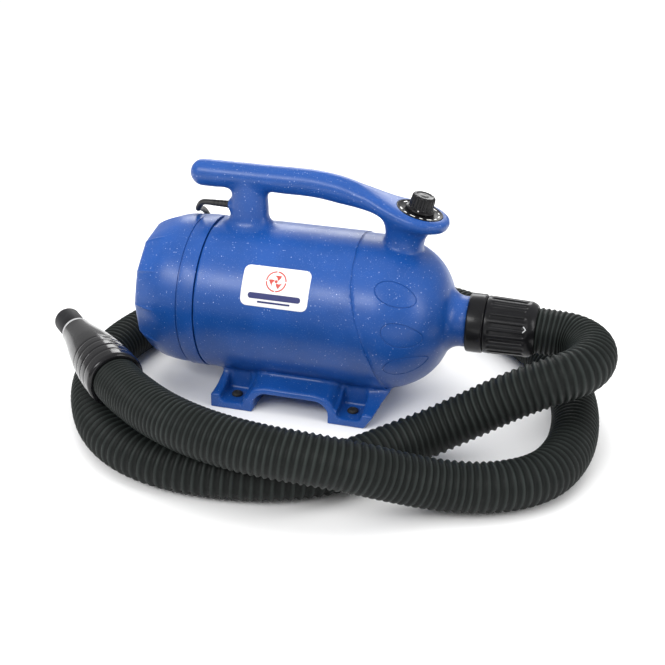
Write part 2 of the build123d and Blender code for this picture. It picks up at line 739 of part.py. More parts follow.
with BuildPart() as cord_coil:
    with BuildSketch(Plane.XY):
        with Locations(coil_centre):
            Circle(coil_mean_radius + coil_half)
            Circle(coil_mean_radius - coil_half, mode=Mode.SUBTRACT)
    extrude(amount=2 * coil_half)
cord_coil.part.label = "cord_coil"
export_step(cord_coil.part, "parts/cord_coil.step")

plug_height = 12.0           # of its centre line above the floor
plug_x = 34.0                # where its sleeve begins
tail_route = [
    (2, coil_near_y, 21), (13, coil_near_y, 17.5), (24, coil_near_y, plug_height),
    (plug_x, coil_near_y, plug_height),
]
cord_tail = tube(tail_route, cord_radius, 0)
cord_tail.label = "cord_tail"
export_step(cord_tail, "parts/cord_tail.step")

with BuildPart() as plug_body:
    plug_plane = Plane(origin=(plug_x, coil_near_y, plug_height), x_dir=(0, 1, 0), z_dir=(1, 0, 0))
    with BuildSketch(plug_plane):
        Circle(cord_radius + 0.8)
    with BuildSketch(plug_plane.offset(16)):
        Circle(6.5)
    loft()
    with BuildSketch(plug_plane.offset(16)):
        RectangleRounded(20, 17, 6)
    with BuildSketch(plug_plane.offset(30)):
        RectangleRounded(27, 23.6, 8)
    loft()
    with BuildSketch(plug_plane.offset(30)):
        RectangleRounded(27, 23.6, 8)
    extrude(amount=16)
plug_body.part.label = "plug_body"
export_step(plug_body.part, "parts/plug_body.step")

with BuildPart() as plug_blades:
    with BuildSketch(plug_plane.offset(46)):
        with Locations((-6.35, 2), (6.35, 2)):
            Rectangle(1.5, 6.3)
        with Locations((0, -7)):
            Circle(2.4)
    extrude(amount=18)
plug_blades.part.label = "plug_blades"
export_step(plug_blades.part, "parts/plug_blades.step")

# ---- Motor and fan -------------------------------------------------------------------------
bulkhead_x = 24.0
bulkhead_thickness = 3.5
inlet_radius = fan_radius - 19.5
screw_circle = bore_radius - 6
screw_radius = 2.0
screw_length = 12.0
screw_head_radius = 3.8
screw_head_height = 2.4
gasket_thickness = 4.0
fan_x = bulkhead_x + bulkhead_thickness + gasket_thickness
fan_length = 56.0
fan_wall = 1.4
eye_radius = 24.0
bracket_x = fan_x + fan_length
bracket_thickness = 4.0
core_x = bracket_x + 20
core_length = 40.0
core_radius = 46.0
commutator_x = core_x + core_length + 14
commutator_length = 15.0
winding_length = 7.0
end_x = commutator_x + commutator_length + 4
end_thickness = 8.0
cradle_x = end_x + end_thickness

with BuildPart() as bulkhead:
    add(ring(bulkhead_x, bulkhead_thickness, bore_radius, inlet_radius))
    with BuildSketch(across(bulkhead_x)):
        with PolarLocations(screw_circle, 4, start_angle=45):
            Circle(screw_radius + 0.1)
    extrude(amount=bulkhead_thickness, mode=Mode.SUBTRACT)
bulkhead.part.label = "bulkhead"
export_step(bulkhead.part, "parts/bulkhead.step")

with BuildPart() as bulkhead_screws:
    with BuildSketch(across(bulkhead_x - screw_head_height)):
        with PolarLocations(screw_circle, 4, start_angle=45):
            Circle(screw_head_radius)
    extrude(amount=screw_head_height)
    with BuildSketch(across(bulkhead_x)):
        with PolarLocations(screw_circle, 4, start_angle=45):
            Circle(screw_radius)
    extrude(amount=screw_length)
bulkhead_screws.part.label = "bulkhead_screws"
export_step(bulkhead_screws.part, "parts/bulkhead_screws.step")

plain_rings = {
    # name: (x from the seam, length, outer radius, inner radius)
    "fan_gasket": (bulkhead_x + bulkhead_thickness, gasket_thickness, fan_radius - 4, inlet_radius + 2),
    "impeller_nut": (fan_x + 3.0, 4.0, 7.0, shaft_radius),
    "impeller_spacer": (fan_x + 19.0, 12.0, 7.0, shaft_radius),
    "commutator": (commutator_x, commutator_length, commutator_radius, shaft_radius),
    "armature_core": (core_x, core_length, armature_radius, shaft_radius),
}
for name, (x, length, outer, inner) in plain_rings.items():
    piece = ring(x, length, outer, inner)
    piece.label = name
    export_step(piece, "parts/" + name + ".step")

with BuildPart() as fan_shell:
    add(ring(fan_x, fan_length, fan_radius, fan_radius - fan_wall))
    add(ring(fan_x, fan_wall, fan_radius, eye_radius))
    add(ring(fan_x + fan_length - fan_wall, fan_wall, fan_radius, fan_radius - 5))
fan_shell.part.label = "fan_shell"
export_step(fan_shell.part, "parts/fan_shell.step")

vanes = 8
impeller_depth = 12.0


def impeller(x):
    """Two discs with curved vanes between them; the front disc has the eye."""
    with BuildPart() as piece:
        add(ring(x, 1.0, impeller_radius, eye_radius - 4))
        add(ring(x + impeller_depth - 1.0, 1.0, impeller_radius, shaft_radius))
        add(ring(x + 2.0, impeller_depth - 2.0, 10, shaft_radius))
        with BuildSketch(across(x + 0.5)):
            with PolarLocations(0, vanes):
                with BuildLine():
                    inner_arc = CenterArc((0, 34), 34, -58, 84)
                    outer_arc = CenterArc((0, 34), 35.2, -58, 84)
                    Line(inner_arc @ 0, outer_arc @ 0)
                    Line(inner_arc @ 1, outer_arc @ 1)
                make_face()
            Circle(12, mode=Mode.SUBTRACT)
        extrude(amount=impeller_depth - 1.0)
    return piece.part


for name, x in (("rear_impeller", fan_x + 7.0), ("front_impeller", fan_x + 31.0)):
    piece = impeller(x)
    piece.label = name
    export_step(piece, "parts/" + name + ".step")

with BuildPart() as diffuser:
    add(ring(fan_x + 21.0, 1.2, fan_radius - fan_wall, 9.0))
    add(ring(fan_x + 28.0, 1.2, fan_radius - fan_wall - 3, eye_radius))
    with BuildSketch(across(fan_x + 22.0)):
        with PolarLocations(fan_radius - 21.5, 10):
            Rectangle(34, 1.4, rotation=28)
    extrude(amount=6.2)
diffuser.part.label = "diffuser"
export_step(diffuser.part, "parts/diffuser.step")

with BuildPart() as motor_bracket:
    add(ring(bracket_x, bracket_thickness, fan_radius, bearing_radius))
    add(ring(bracket_x, 12.0, bearing_radius + 3, bearing_radius))
    add(ring(bracket_x, core_x + core_length - bracket_x, core_radius + 2.5, core_radius))
    with BuildSketch(across(bracket_x)):
        with PolarLocations(32, 6):
            Rectangle(12, 20)
        with PolarLocations(fan_radius - 11.5, 8):
            Rectangle(12, 26)
    extrude(amount=bracket_thickness, mode=Mode.SUBTRACT)
motor_bracket.part.label = "motor_bracket"
export_step(motor_bracket.part, "parts/motor_bracket.step")

with BuildPart() as field_core:
    with BuildSketch(across(core_x)):
        Circle(core_radius)
        Circle(core_radius - 8, mode=Mode.SUBTRACT)
        with Locations((0, 31), (0, -31)):
            Rectangle(30, 20)
        Circle(armature_radius + air_gap, mode=Mode.SUBTRACT)
    extrude(amount=core_length)
field_core.part.label = "field_core"
export_step(field_core.part, "parts/field_core.step")

with BuildPart() as field_coils:
    for side in (-1, 1):
        with BuildSketch(Plane.XY.offset(axis_height + side * 33)):
            with Locations((seam_x + core_x + core_length / 2, 0)):
                RectangleRounded(core_length + 18, 46, 8)
                RectangleRounded(core_length + 1, 31, 1, mode=Mode.SUBTRACT)
        extrude(amount=3.5, both=True)
    add(ring(core_x - 20, core_length + 40, core_radius + 20, core_radius - 8.2), mode=Mode.SUBTRACT)
field_coils.part.label = "field_coils"
export_step(field_coils.part, "parts/field_coils.step")

with BuildPart() as end_bracket:
    add(ring(end_x, end_thickness, bearing_radius + 4, bearing_radius))
    add(ring(end_x, 5.0, core_radius + 2.5, core_radius - 4))
    with BuildSketch(across(end_x)):
        with PolarLocations((bearing_radius + core_radius) / 2, 4, start_angle=45):
            Rectangle(core_radius - bearing_radius, 12)
        Circle(bearing_radius, mode=Mode.SUBTRACT)
    extrude(amount=5.0)
    with BuildSketch(across(core_x + core_length)):
        with PolarLocations(core_radius, 4, start_angle=45):
            Rectangle(5, 16)
    extrude(amount=end_x - core_x - core_length)
end_bracket.part.label = "end_bracket"
export_step(end_bracket.part, "parts/end_bracket.step")

brush_reach = 18.0
brush_size = (6.0, 10.0)     # thickness and width
holder_length = 24.0
holder_wall = 2.0
brush_x = seam_x + commutator_x + commutator_length / 2
with BuildPart() as brush_holders:
    for side in (-1, 1):
        with Locations((brush_x, side * (commutator_radius + 3 + holder_length / 2), axis_height)):
            Box(brush_size[1] + 2 * holder_wall, holder_length, brush_size[0] + 2 * holder_wall)
            Box(brush_size[1], holder_length, brush_size[0], mode=Mode.SUBTRACT)
brush_holders.part.label = "brush_holders"
export_step(brush_holders.part, "parts/brush_holders.step")

with BuildPart() as carbon_brushes:
    for side in (-1, 1):
        with Locations((brush_x, side * (commutator_radius - 1 + brush_reach / 2), axis_height)):
            Box(brush_size[1] - 0.2, brush_reach, brush_size[0] - 0.2)
    add(ring(commutator_x - 1, commutator_length + 2, commutator_radius + 0.1, 0), mode=Mode.SUBTRACT)
carbon_brushes.part.label = "carbon_brushes"
export_step(carbon_brushes.part, "parts/carbon_brushes.step")

bearing_width = 7.0
with BuildPart() as bearings:
    add(ring(bracket_x + 4, bearing_width, bearing_radius, shaft_radius + 0.05))
    add(ring(end_x, bearing_width, bearing_radius, shaft_radius + 0.05))
bearings.part.label = "bearings"
export_step(bearings.part, "parts/bearings.step")

with BuildPart() as armature_winding:
    for x in (core_x - winding_length, core_x + core_length):
        add(ring(x, winding_length, armature_radius - 4, shaft_radius + 4))
    fillet(armature_winding.edges().filter_by(GeomType.CIRCLE).group_by(SortBy.RADIUS)[-1], 3.0)
armature_winding.part.label = "armature_winding"
export_step(armature_winding.part, "parts/armature_winding.step")

motor_shaft = ring(fan_x + 1, end_x + end_thickness + 3 - fan_x, shaft_radius, 0)
motor_shaft.label = "motor_shaft"
export_step(motor_shaft, "parts/motor_shaft.step")

with BuildPart() as motor_cradle:
    add(ring(cradle_x, 6.0, bore_radius, bore_radius - 5))
    add(ring(cradle_x, 6.0, bearing_radius + 9, bearing_radius + 4))
    with BuildSketch(across(cradle_x)):
        with PolarLocations((bore_radius + bearing_radius + 4) / 2, 3, start_angle=90):
            Rectangle(bore_radius - bearing_radius - 9, 8)
    extrude(amount=6.0)
motor_cradle.part.label = "motor_cradle"
export_step(motor_cradle.part, "parts/motor_cradle.step")

cradle_bush = ring(cradle_x, 6.0, bearing_radius + 4, bearing_radius)
cradle_bush.label = "cradle_bush"
export_step(cradle_bush, "parts/cradle_bush.step")

# ---- Label ---------------------------------------------------------------------------------
label_x = (54.0, 128.0)
label_from = 134.0           # round the barrel from +Y; 180 is level with the axis on the near side
label_sweep = 31.0
label_thickness = 0.3
with BuildPart() as side_label:
    with BuildSketch(across(label_x[0])):
        ring_sector(label_from, label_sweep, barrel_radius + label_thickness, barrel_radius)
    extrude(amount=label_x[1] - label_x[0])
side_label.part.label = "side_label"
export_step(side_label.part, "parts/side_label.step")
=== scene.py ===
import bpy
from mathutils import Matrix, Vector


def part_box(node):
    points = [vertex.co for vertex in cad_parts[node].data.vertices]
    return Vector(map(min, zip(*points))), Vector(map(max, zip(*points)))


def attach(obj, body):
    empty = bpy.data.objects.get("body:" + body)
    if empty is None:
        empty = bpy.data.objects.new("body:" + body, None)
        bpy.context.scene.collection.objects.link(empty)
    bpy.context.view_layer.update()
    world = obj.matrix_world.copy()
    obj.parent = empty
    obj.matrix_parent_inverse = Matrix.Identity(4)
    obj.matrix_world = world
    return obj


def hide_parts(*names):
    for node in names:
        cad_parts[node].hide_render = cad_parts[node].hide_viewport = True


bl_info = {
    "name": "Pet Dryer",
    "version": (1, 0, 0),
    "blender": (4, 5, 0),
    "location": "View3D > Sidebar > Pet Dryer",
    "description": "Builds the shells, hose, cord, finishes and stage of a barrel-shaped pet dryer",
    "category": "Object",
}

from math import asin, atan2, cos, degrees, pi, radians, sin, sqrt, tan

import bpy
import numpy as np
from bpy.props import FloatProperty, FloatVectorProperty, IntProperty, PointerProperty
from bpy.types import Operator, Panel, PropertyGroup
from mathutils import Matrix, Vector

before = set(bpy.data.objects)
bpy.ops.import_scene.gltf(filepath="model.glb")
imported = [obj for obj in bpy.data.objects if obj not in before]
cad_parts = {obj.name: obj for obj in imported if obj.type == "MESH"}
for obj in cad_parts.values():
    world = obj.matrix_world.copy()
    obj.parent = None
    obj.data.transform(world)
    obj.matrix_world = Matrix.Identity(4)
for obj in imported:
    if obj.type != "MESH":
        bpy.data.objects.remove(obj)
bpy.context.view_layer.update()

# ---- Places in the shared frame ------------------------------------------------------------
# Lengths in this file are millimetres until they meet a mesh; MM makes them metres.
MM = 0.001
COVER_LOW, COVER_HIGH = (Vector(corner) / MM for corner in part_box("rear_cover"))
BARREL_RADIUS = (COVER_HIGH.z - COVER_LOW.z) / 2
AXIS_Z = (COVER_HIGH.z + COVER_LOW.z) / 2
COVER_LENGTH = 75.0
SEAM_X = COVER_LOW.x + COVER_LENGTH
WALL = 3.0

DOME_X = 195.0                # from the cover's seam to the dome's centre
DOME_RADIUS = 76.0
DOME_CENTRE_R = BARREL_RADIUS - DOME_RADIUS
NECK_RADIUS = 27.5
NECK_FILLET = 18.0
NECK_CENTRE_R = NECK_RADIUS + NECK_FILLET
NECK_CENTRE_X = DOME_X + sqrt((DOME_RADIUS + NECK_FILLET) ** 2 - (NECK_CENTRE_R - DOME_CENTRE_R) ** 2)
DOME_END_ANGLE = atan2(NECK_CENTRE_R - DOME_CENTRE_R, NECK_CENTRE_X - DOME_X)
NECK_END = NECK_CENTRE_X + 5.0
RING_END = NECK_END + 18.6
CUFF_END = RING_END + 54.4

PAD_TILT = radians(14.5)
PAD_X, PAD_Z = 227.5, 121.0
PAD_RADIUS = 35.0
PAD_THICKNESS = 15.0
BAR_RADIUS = 14.8
BAR_Z = 139.0
BAR_START_X = -14.2           # the grip's free end
BAR_BEND_X, BAR_BEND_END = 100.0, 200.0      # between these it curves down into the pad
REAR_POST_X = 38.5
FRONT_POST_X = 210.0
BOSS_Z = 105.0
BASE_TOP_Z = 8.0


def place_along(origin, direction, up):
    """A matrix whose Z runs from origin along direction, with X as near up as it can be."""
    z = Vector(direction).normalized()
    x = (Vector(up) - Vector(up).dot(z) * z).normalized()
    return Matrix.Translation(Vector(origin) * MM) @ Matrix((x, z.cross(x), z)).transposed().to_4x4()


BARREL = place_along((SEAM_X, 0, AXIS_Z), (1, 0, 0), (0, 0, 1))
PAD_NORMAL = Vector((sin(PAD_TILT), 0, cos(PAD_TILT)))
DIAL_CENTRE = Vector((SEAM_X + PAD_X, 0, AXIS_Z + PAD_Z))
DIAL = place_along(DIAL_CENTRE, PAD_NORMAL, (1, 0, 0))
NOZZLE_BASE = Vector((-184.0, -190.0, 77.5))
NOZZLE_AIM = Vector((-0.715, 0.698, 0.04)).normalized()
NOZZLE = place_along(NOZZLE_BASE, NOZZLE_AIM, (0, 0, 1))
FEET = [(SEAM_X + x, side * 62.0) for x in (41.5, 175.5) for side in (-1, 1)]


# ---- Modelling helpers -----------------------------------------------------------------------
def begin():
    """Back to object mode with nothing selected."""
    if bpy.context.object and bpy.context.object.mode != "OBJECT":
        bpy.ops.object.mode_set(mode="OBJECT")
    bpy.ops.object.select_all(action="DESELECT")


def hold(piece):
    """Makes piece the one that operators act on."""
    begin()
    piece.select_set(True)
    bpy.context.view_layer.objects.active = piece
    return piece


def fresh(name):
    """Names the primitive that was just added."""
    piece = bpy.context.object
    piece.name = piece.data.name = name
    return piece


def points_of(piece):
    """The mesh's vertices in millimetres."""
    flat = np.empty(3 * len(piece.data.vertices), np.float32)
    piece.data.vertices.foreach_get("co", flat)
    return flat.reshape(-1, 3).astype(float) / MM


def put_points(piece, points):
    """Writes the vertices back from millimetres."""
    piece.data.vertices.foreach_set("co", (np.asarray(points) * MM).astype(np.float32).ravel())
    piece.data.update()


def close_up(piece, distance=0.001):
    """Merges doubles, drops loose wire and turns every face outwards."""
    hold(piece)
    bpy.ops.object.mode_set(mode="EDIT")
    bpy.ops.mesh.select_all(action="SELECT")
    bpy.ops.mesh.remove_doubles(threshold=distance * MM)
    bpy.ops.mesh.delete_loose()
    bpy.ops.mesh.select_all(action="SELECT")
    bpy.ops.mesh.normals_make_consistent(inside=False)
    bpy.ops.object.mode_set(mode="OBJECT")
    return piece


def apply_modifier(piece, kind, **settings):
    """Adds one modifier, sets it and applies it."""
    hold(piece)
    modifier = piece.modifiers.new(kind, kind)
    for key, value in settings.items():
        setattr(modifier, key, value)
    bpy.ops.object.modifier_apply(modifier=modifier.name)
    return piece


def combine(piece, other, operation="DIFFERENCE"):
    """One boolean with another closed piece, which is used up."""
    apply_modifier(piece, "BOOLEAN", object=other, operation=operation, solver="MANIFOLD")
    bpy.data.objects.remove(other)
    return piece


def join(name, pieces):
    """Several pieces as one mesh."""
    hold(pieces[0])
    for piece in pieces[1:]:
        piece.select_set(True)
    bpy.ops.object.join()
    return fresh(name)


def soften(piece, angle=35):
    """Smooth shading, with edges sharper than angle left crisp."""
    hold(piece)
    bpy.ops.object.shade_smooth_by_angle(angle=radians(angle))
    return piece


def turned(name, profile, place, steps=96):
    """A closed profile of (along, radius) points spun round a place's Z axis."""
    begin()
    bpy.ops.mesh.primitive_circle_add(vertices=len(profile), radius=1)
    piece = fresh(name)
    put_points(piece, [(radius, 0, along) for along, radius in profile])
    bpy.ops.object.mode_set(mode="EDIT")
    bpy.ops.mesh.select_all(action="SELECT")
    bpy.ops.mesh.spin(steps=steps, angle=2 * pi, center=(0, 0, 0), axis=(0, 0, 1), use_auto_merge=True)
    bpy.ops.object.mode_set(mode="OBJECT")
    piece.data.transform(place)
    return close_up(piece)


def net(name, rows, columns, point):
    """A grid whose vertices go to point(row share, column share), both from 0 to 1, then closed."""
    begin()
    bpy.ops.mesh.primitive_grid_add(x_subdivisions=columns, y_subdivisions=rows, size=1)
    piece = fresh(name)
    share = points_of(piece) * MM + 0.5
    put_points(piece, point(share[:, 1], share[:, 0]))
    return piece


def cap_ends(piece):
    """Fills each open loop with one face."""
    hold(piece)
    bpy.ops.object.mode_set(mode="EDIT")
    bpy.ops.mesh.select_all(action="SELECT")
    bpy.ops.mesh.remove_doubles(threshold=0.001 * MM)
    bpy.ops.mesh.select_all(action="DESELECT")
    bpy.ops.mesh.select_non_manifold(extend=False)
    bpy.ops.mesh.edge_face_add()
    bpy.ops.mesh.select_all(action="SELECT")
    bpy.ops.mesh.normals_make_consistent(inside=False)
    bpy.ops.object.mode_set(mode="OBJECT")
    return piece


def block(name, centre, size, bevel=0.0, segments=3):
    """A box whose edges are bevelled, its place in its mesh."""
    begin()
    bpy.ops.mesh.primitive_cube_add(size=1)
    piece = fresh(name)
    put_points(piece, points_of(piece) * MM * np.array(size) + np.array(centre))
    if bevel:
        bpy.ops.object.mode_set(mode="EDIT")
        bpy.ops.mesh.select_all(action="SELECT")
        bpy.ops.mesh.bevel(offset=bevel * MM, segments=segments, affect="EDGES")
        bpy.ops.object.mode_set(mode="OBJECT")
    return piece


def arc(centre_along, centre_radius, radius, start, end, steps):
    """Points of a profile's arc; angles are in degrees, from the profile's along direction."""
    return [
        (centre_along + radius * cos(radians(a)), centre_radius + radius * sin(radians(a)))
        for a in np.linspace(start, end, steps + 1)
    ]


def outline_radius(along):
    """The body's outside radius at a distance from the cover's seam."""
    along = np.asarray(along, float)
    dome = DOME_CENTRE_R + np.sqrt(np.clip(DOME_RADIUS ** 2 - (along - DOME_X) ** 2, 0, None))
    hollow = NECK_CENTRE_R - np.sqrt(np.clip(NECK_FILLET ** 2 - (along - NECK_CENTRE_X) ** 2, 0, None))
    joint_x = DOME_X + DOME_RADIUS * cos(DOME_END_ANGLE)
    radius = np.where(along < DOME_X, BARREL_RADIUS, np.where(along < joint_x, dome, hollow))
    return np.where(along > NECK_CENTRE_X, NECK_RADIUS, radius)


def body_profile(inset, start, end, steps):
    """The body's section as a closed profile: cylinder, dome, hollow fillet and neck, inset from outside."""
    turn = degrees(DOME_END_ANGLE)
    return [
        (start, 0),
        (start, BARREL_RADIUS - inset),
        *arc(DOME_X, DOME_CENTRE_R, DOME_RADIUS - inset, 90, turn, steps),
        *arc(NECK_CENTRE_X, NECK_CENTRE_R, NECK_FILLET + inset, 180 + turn, 270, steps // 2)[1:],
        (end, NECK_RADIUS - inset),
        (end, 0),
    ]


def route_line(name, route, radius=0.0):
    """A NURBS curve with the route's own points as its control points."""
    curve = bpy.data.curves.new(name, "CURVE")
    curve.dimensions = "3D"
    curve.resolution_u = 24
    spline = curve.splines.new("NURBS")
    spline.points.add(len(route) - 1)
    for control, place in zip(spline.points, route):
        control.co = (*(value * MM for value in place), 1)
    spline.order_u = 3
    spline.use_endpoint_u = True
    if radius:
        curve.bevel_depth = radius * MM
        curve.bevel_resolution = 5
        curve.use_fill_caps = True
    piece = bpy.data.objects.new(name, curve)
    bpy.context.scene.collection.objects.link(piece)
    return piece


def read_line(name, route):
    """The route's smooth line as points, in millimetres, with the distance along it of each."""
    guide = route_line(name, route)
    bpy.context.view_layer.update()
    mesh = bpy.data.meshes.new_from_object(guide)
    line = np.array([vertex.co for vertex in mesh.vertices], float) / MM
    bpy.data.meshes.remove(mesh)
    bpy.data.objects.remove(guide)
    gone = np.concatenate([[0], np.cumsum(np.linalg.norm(np.diff(line, axis=0), axis=1))])
    keep = np.concatenate([[True], np.diff(gone) > 0.05])
    return line[keep], gone[keep]


def carried_frames(line):
    """Two directions square to the line at each of its points, carried along it without twist."""
    tangent = np.gradient(line, axis=0)
    tangent /= np.linalg.norm(tangent, axis=1)[:, None]
    side = np.empty_like(tangent)
    side[0] = np.cross(tangent[0], (0, 0, 1))
    for k in range(1, len(line)):
        side[k] = side[k - 1] - tangent[k] * (side[k - 1] @ tangent[k])
    side /= np.linalg.norm(side, axis=1)[:, None]
    return side, np.cross(tangent, side)


def spread_over(piece, name, values):
    """Stores one number per vertex, for the piece's material to read."""
    attribute = piece.data.attributes.new(name, "FLOAT", "POINT")
    attribute.data.foreach_set("value", np.asarray(values, np.float32))


def ease(low, high, value):
    """0 below low, 1 above high and a smooth rise between."""
    share = np.clip((np.asarray(value, float) - low) / (high - low), 0, 1)
    return share * share * (3 - 2 * share)


# ---- Routes -----------------------------------------------------------------------------------
HOSE_ROUTE = [
    (CUFF_END + SEAM_X - 14, 0, AXIS_Z), (230, 0, 104.5), (258, -4, 104.5), (277, -23, 104.5),
    (282, -51, 103.5), (272, -78, 101.5), (246, -95, 95.5), (209, -104, 78.5), (170, -112, 54.5),
    (129, -126, 32.5), (97, -152, 25), (71, -186, 25), (39, -218, 25), (-5, -240, 25), (-57, -249, 25),
    (-109, -248, 25), (-159, -232, 25), (-200, -200, 25), (-231, -155, 25), (-254, -104, 25),
    (-265, -50, 25), (-264, 4, 25), (-249, 60, 25), (-218, 112, 25), (-174, 156, 25), (-118, 190, 25),
    (-58, 214, 25), (4, 226, 25), (66, 222, 25), (124, 200, 25), (174, 163, 25), (216, 116, 25),
    (246, 62, 25), (264, 6, 25), (272, -52, 25), (270, -110, 25), (252, -163, 25), (211, -196, 25.5),
    (163, -213, 29), (121, -233, 43.5), (83, -254, 60.5), (43, -267, 70), (-1, -270, 72.5),
    (-45, -266, 74.5), (-85, -256, 76.5), (-121, -238, 76.5), (-151, -217, 76.5), (-174.7, -199.1, 77),
    (-192.6, -181.6, 78),
]
CORD_EXIT = (SEAM_X + REAR_POST_X - 45, 0, AXIS_Z + BOSS_Z)
CORD_START = [
    CORD_EXIT, (-156, 0, 209.5), (-160, 0.5, 208.5), (-164, 3, 205), (-167, 6.5, 200),
    (-169.5, 10.5, 196.5), (-173, 21, 193.5), (-176.5, 36, 188.5), (-178.5, 55, 178.5),
    (-180, 72.5, 161), (-179, 84.5, 140), (-175, 91, 117),
    (-169, 94, 94), (-161, 96, 71), (-153, 98, 49), (-145, 100, 28), (-134, 102, 11), (-116, 104, 3.5),
    (-93, 104.5, 3.25), (-68, 105, 3.25), (-40, 105.5, 3.25),
]
COIL_CENTRE = (-12.0, 148.0)
CORD_END = [(4, 105.5, 21), (14, 105.5, 17.5), (24, 105.5, 12.5), (40, 105.5, 12)]
PLUG_START = (34.0, 105.5, 12.0)


def coil_points(radius, pitch, per_turn=14):
    """Control points of the wound cord: in along the floor, out on top of that, and in again."""
    points = []
    # Each leg: turns, radius at its end and height at its end, both in cord thicknesses.
    legs = [(2, -1, 0), (1, -1, 1), (2, 1, 1), (1, 1, 2), (2, -1, 2), (0.5, 0.1, 2.9), (0.5, 1, 3.0)]
    turns, across, height = 0.0, 1.0, 0.0
    for length, end_across, end_height in legs:
        steps = round(length * per_turn)
        for step in range(1 if points else 0, steps + 1):
            share = step / steps
            angle = 2 * pi * (turns + length * share) - pi / 2
            reach = radius + pitch * (across + (end_across - across) * share)
            rise = pitch * (0.5 + height + (end_height - height) * share)
            points.append((COIL_CENTRE[0] + reach * cos(angle), COIL_CENTRE[1] + reach * sin(angle), rise))
        turns, across, height = turns + length, end_across, end_height
    return points


# ---- Properties ----------------------------------------------------------------------------------
class DryerBodySizes(PropertyGroup):
    remesh_size: FloatProperty(
        name="Mesh size", description="Spacing of the moulded shell's mesh",
        default=0.0019, min=0.001, unit="LENGTH")
    blend_passes: IntProperty(
        name="Blend passes", description="How far the handle's posts melt into the body",
        default=100, min=0, max=200)
    groove_width: FloatProperty(
        name="Groove width", description="Width of the lines moulded in the shell",
        default=0.0016, unit="LENGTH")
    step_depth: FloatProperty(
        name="Step depth", description="How far the nose stands in behind its seam",
        default=0.0013, unit="LENGTH")


class DryerHoseSizes(PropertyGroup):
    radius: FloatProperty(name="Radius", description="Outside radius", default=0.025, unit="LENGTH")
    wall: FloatProperty(name="Wall", description="Wall under the ribs", default=0.0014, unit="LENGTH")
    rib_height: FloatProperty(
        name="Rib height", description="Crest above valley", default=0.0025, unit="LENGTH")
    rib_pitch: FloatProperty(
        name="Rib pitch", description="Rib spacing where it is stretched", default=0.0088, unit="LENGTH")


class DryerCordSizes(PropertyGroup):
    radius: FloatProperty(name="Radius", description="Cord's radius", default=0.00325, unit="LENGTH")
    coil_radius: FloatProperty(
        name="Coil radius", description="Middle of the wound turns", default=0.036, unit="LENGTH")


class DryerFinishes(PropertyGroup):
    shell_blue: FloatVectorProperty(
        name="Shell", description="Moulded shell", subtype="COLOR", size=3, min=0, max=1,
        default=(0.006, 0.062, 0.275))
    fleck_white: FloatVectorProperty(
        name="Flecks", description="Flecks in the shell", subtype="COLOR", size=3, min=0, max=1,
        default=(0.50, 0.60, 0.90))
    hose_black: FloatVectorProperty(
        name="Hose", description="Corrugated hose", subtype="COLOR", size=3, min=0, max=1,
        default=(0.013, 0.016, 0.015))
    trim_black: FloatVectorProperty(
        name="Trim", description="Cuff, rings, knob and handpiece", subtype="COLOR", size=3, min=0, max=1,
        default=(0.006, 0.006, 0.007))
    floor_white: FloatVectorProperty(
        name="Floor", description="Studio floor", subtype="COLOR", size=3, min=0, max=1,
        default=(0.90, 0.90, 0.90))


# ---- Finishes --------------------------------------------------------------------------------
class Nodes:
    """A material's node tree, wired a step at a time."""

    def __init__(self, name):
        self.material = bpy.data.materials.new(name)
        self.material.use_nodes = True
        self.tree = self.material.node_tree
        self.shader = self.tree.nodes["Principled BSDF"]
        self.place = self.add("ShaderNodeTexCoord").outputs["Object"]

    def add(self, kind, **settings):
        node = self.tree.nodes.new(kind)
        for key, value in settings.items():
            setattr(node, key, value)
        return node

    def wire(self, source, target):
        self.tree.links.new(source, target)

    def noise(self, scale, detail=3.0, roughness=0.55, vector=None):
        node = self.add("ShaderNodeTexNoise")
        node.inputs["Scale"].default_value = scale
        node.inputs["Detail"].default_value = detail
        node.inputs["Roughness"].default_value = roughness
        self.wire(vector or self.place, node.inputs["Vector"])
        return node.outputs["Fac"]

    def cells(self, scale, feature="F1", vector=None):
        node = self.add("ShaderNodeTexVoronoi", feature=feature)
        node.inputs["Scale"].default_value = scale
        self.wire(vector or self.place, node.inputs["Vector"])
        return node

    def math(self, operation, first, second=0.0, clamp=False):
        node = self.add("ShaderNodeMath", operation=operation, use_clamp=clamp)
        for socket, value in zip(node.inputs, (first, second)):
            if isinstance(value, (int, float)):
                socket.default_value = value
            else:
                self.wire(value, socket)
        return node.outputs[0]

    def span(self, value, low, high, to_low=0.0, to_high=1.0):
        node = self.add("ShaderNodeMapRange")
        for key, number in (("From Min", low), ("From Max", high), ("To Min", to_low), ("To Max", to_high)):
            node.inputs[key].default_value = number
        self.wire(value, node.inputs["Value"])
        return node.outputs["Result"]

    def mix(self, share, first, second):
        node = self.add("ShaderNodeMix", data_type="RGBA")
        colours = [socket for socket in node.inputs if socket.type == "RGBA"]
        self.wire(share, node.inputs["Factor"])
        for socket, value in zip(colours, (first, second)):
            if isinstance(value, (tuple, list)):
                socket.default_value = (*value[:3], 1)
            else:
                self.wire(value, socket)
        return [socket for socket in node.outputs if socket.type == "RGBA"][0]

    def attribute(self, name):
        return self.add("ShaderNodeAttribute", attribute_name=name).outputs["Fac"]

    def colour(self, source):
        self.wire(source, self.shader.inputs["Base Color"])

    def rough(self, source):
        self.wire(source, self.shader.inputs["Roughness"])

    def bump(self, height, distance, strength=1.0):
        node = self.add("ShaderNodeBump")
        node.inputs["Distance"].default_value = distance
        node.inputs["Strength"].default_value = strength
        self.wire(height, node.inputs["Height"])
        self.wire(node.outputs["Normal"], self.shader.inputs["Normal"])

    def fixed(self, **values):
        for key, value in values.items():
            self.shader.inputs[key.replace("_", " ").title().replace("Ior", "IOR")].default_value = value


def lighter(colour, factor):
    return tuple(min(1.0, channel * factor) for channel in colour[:3])


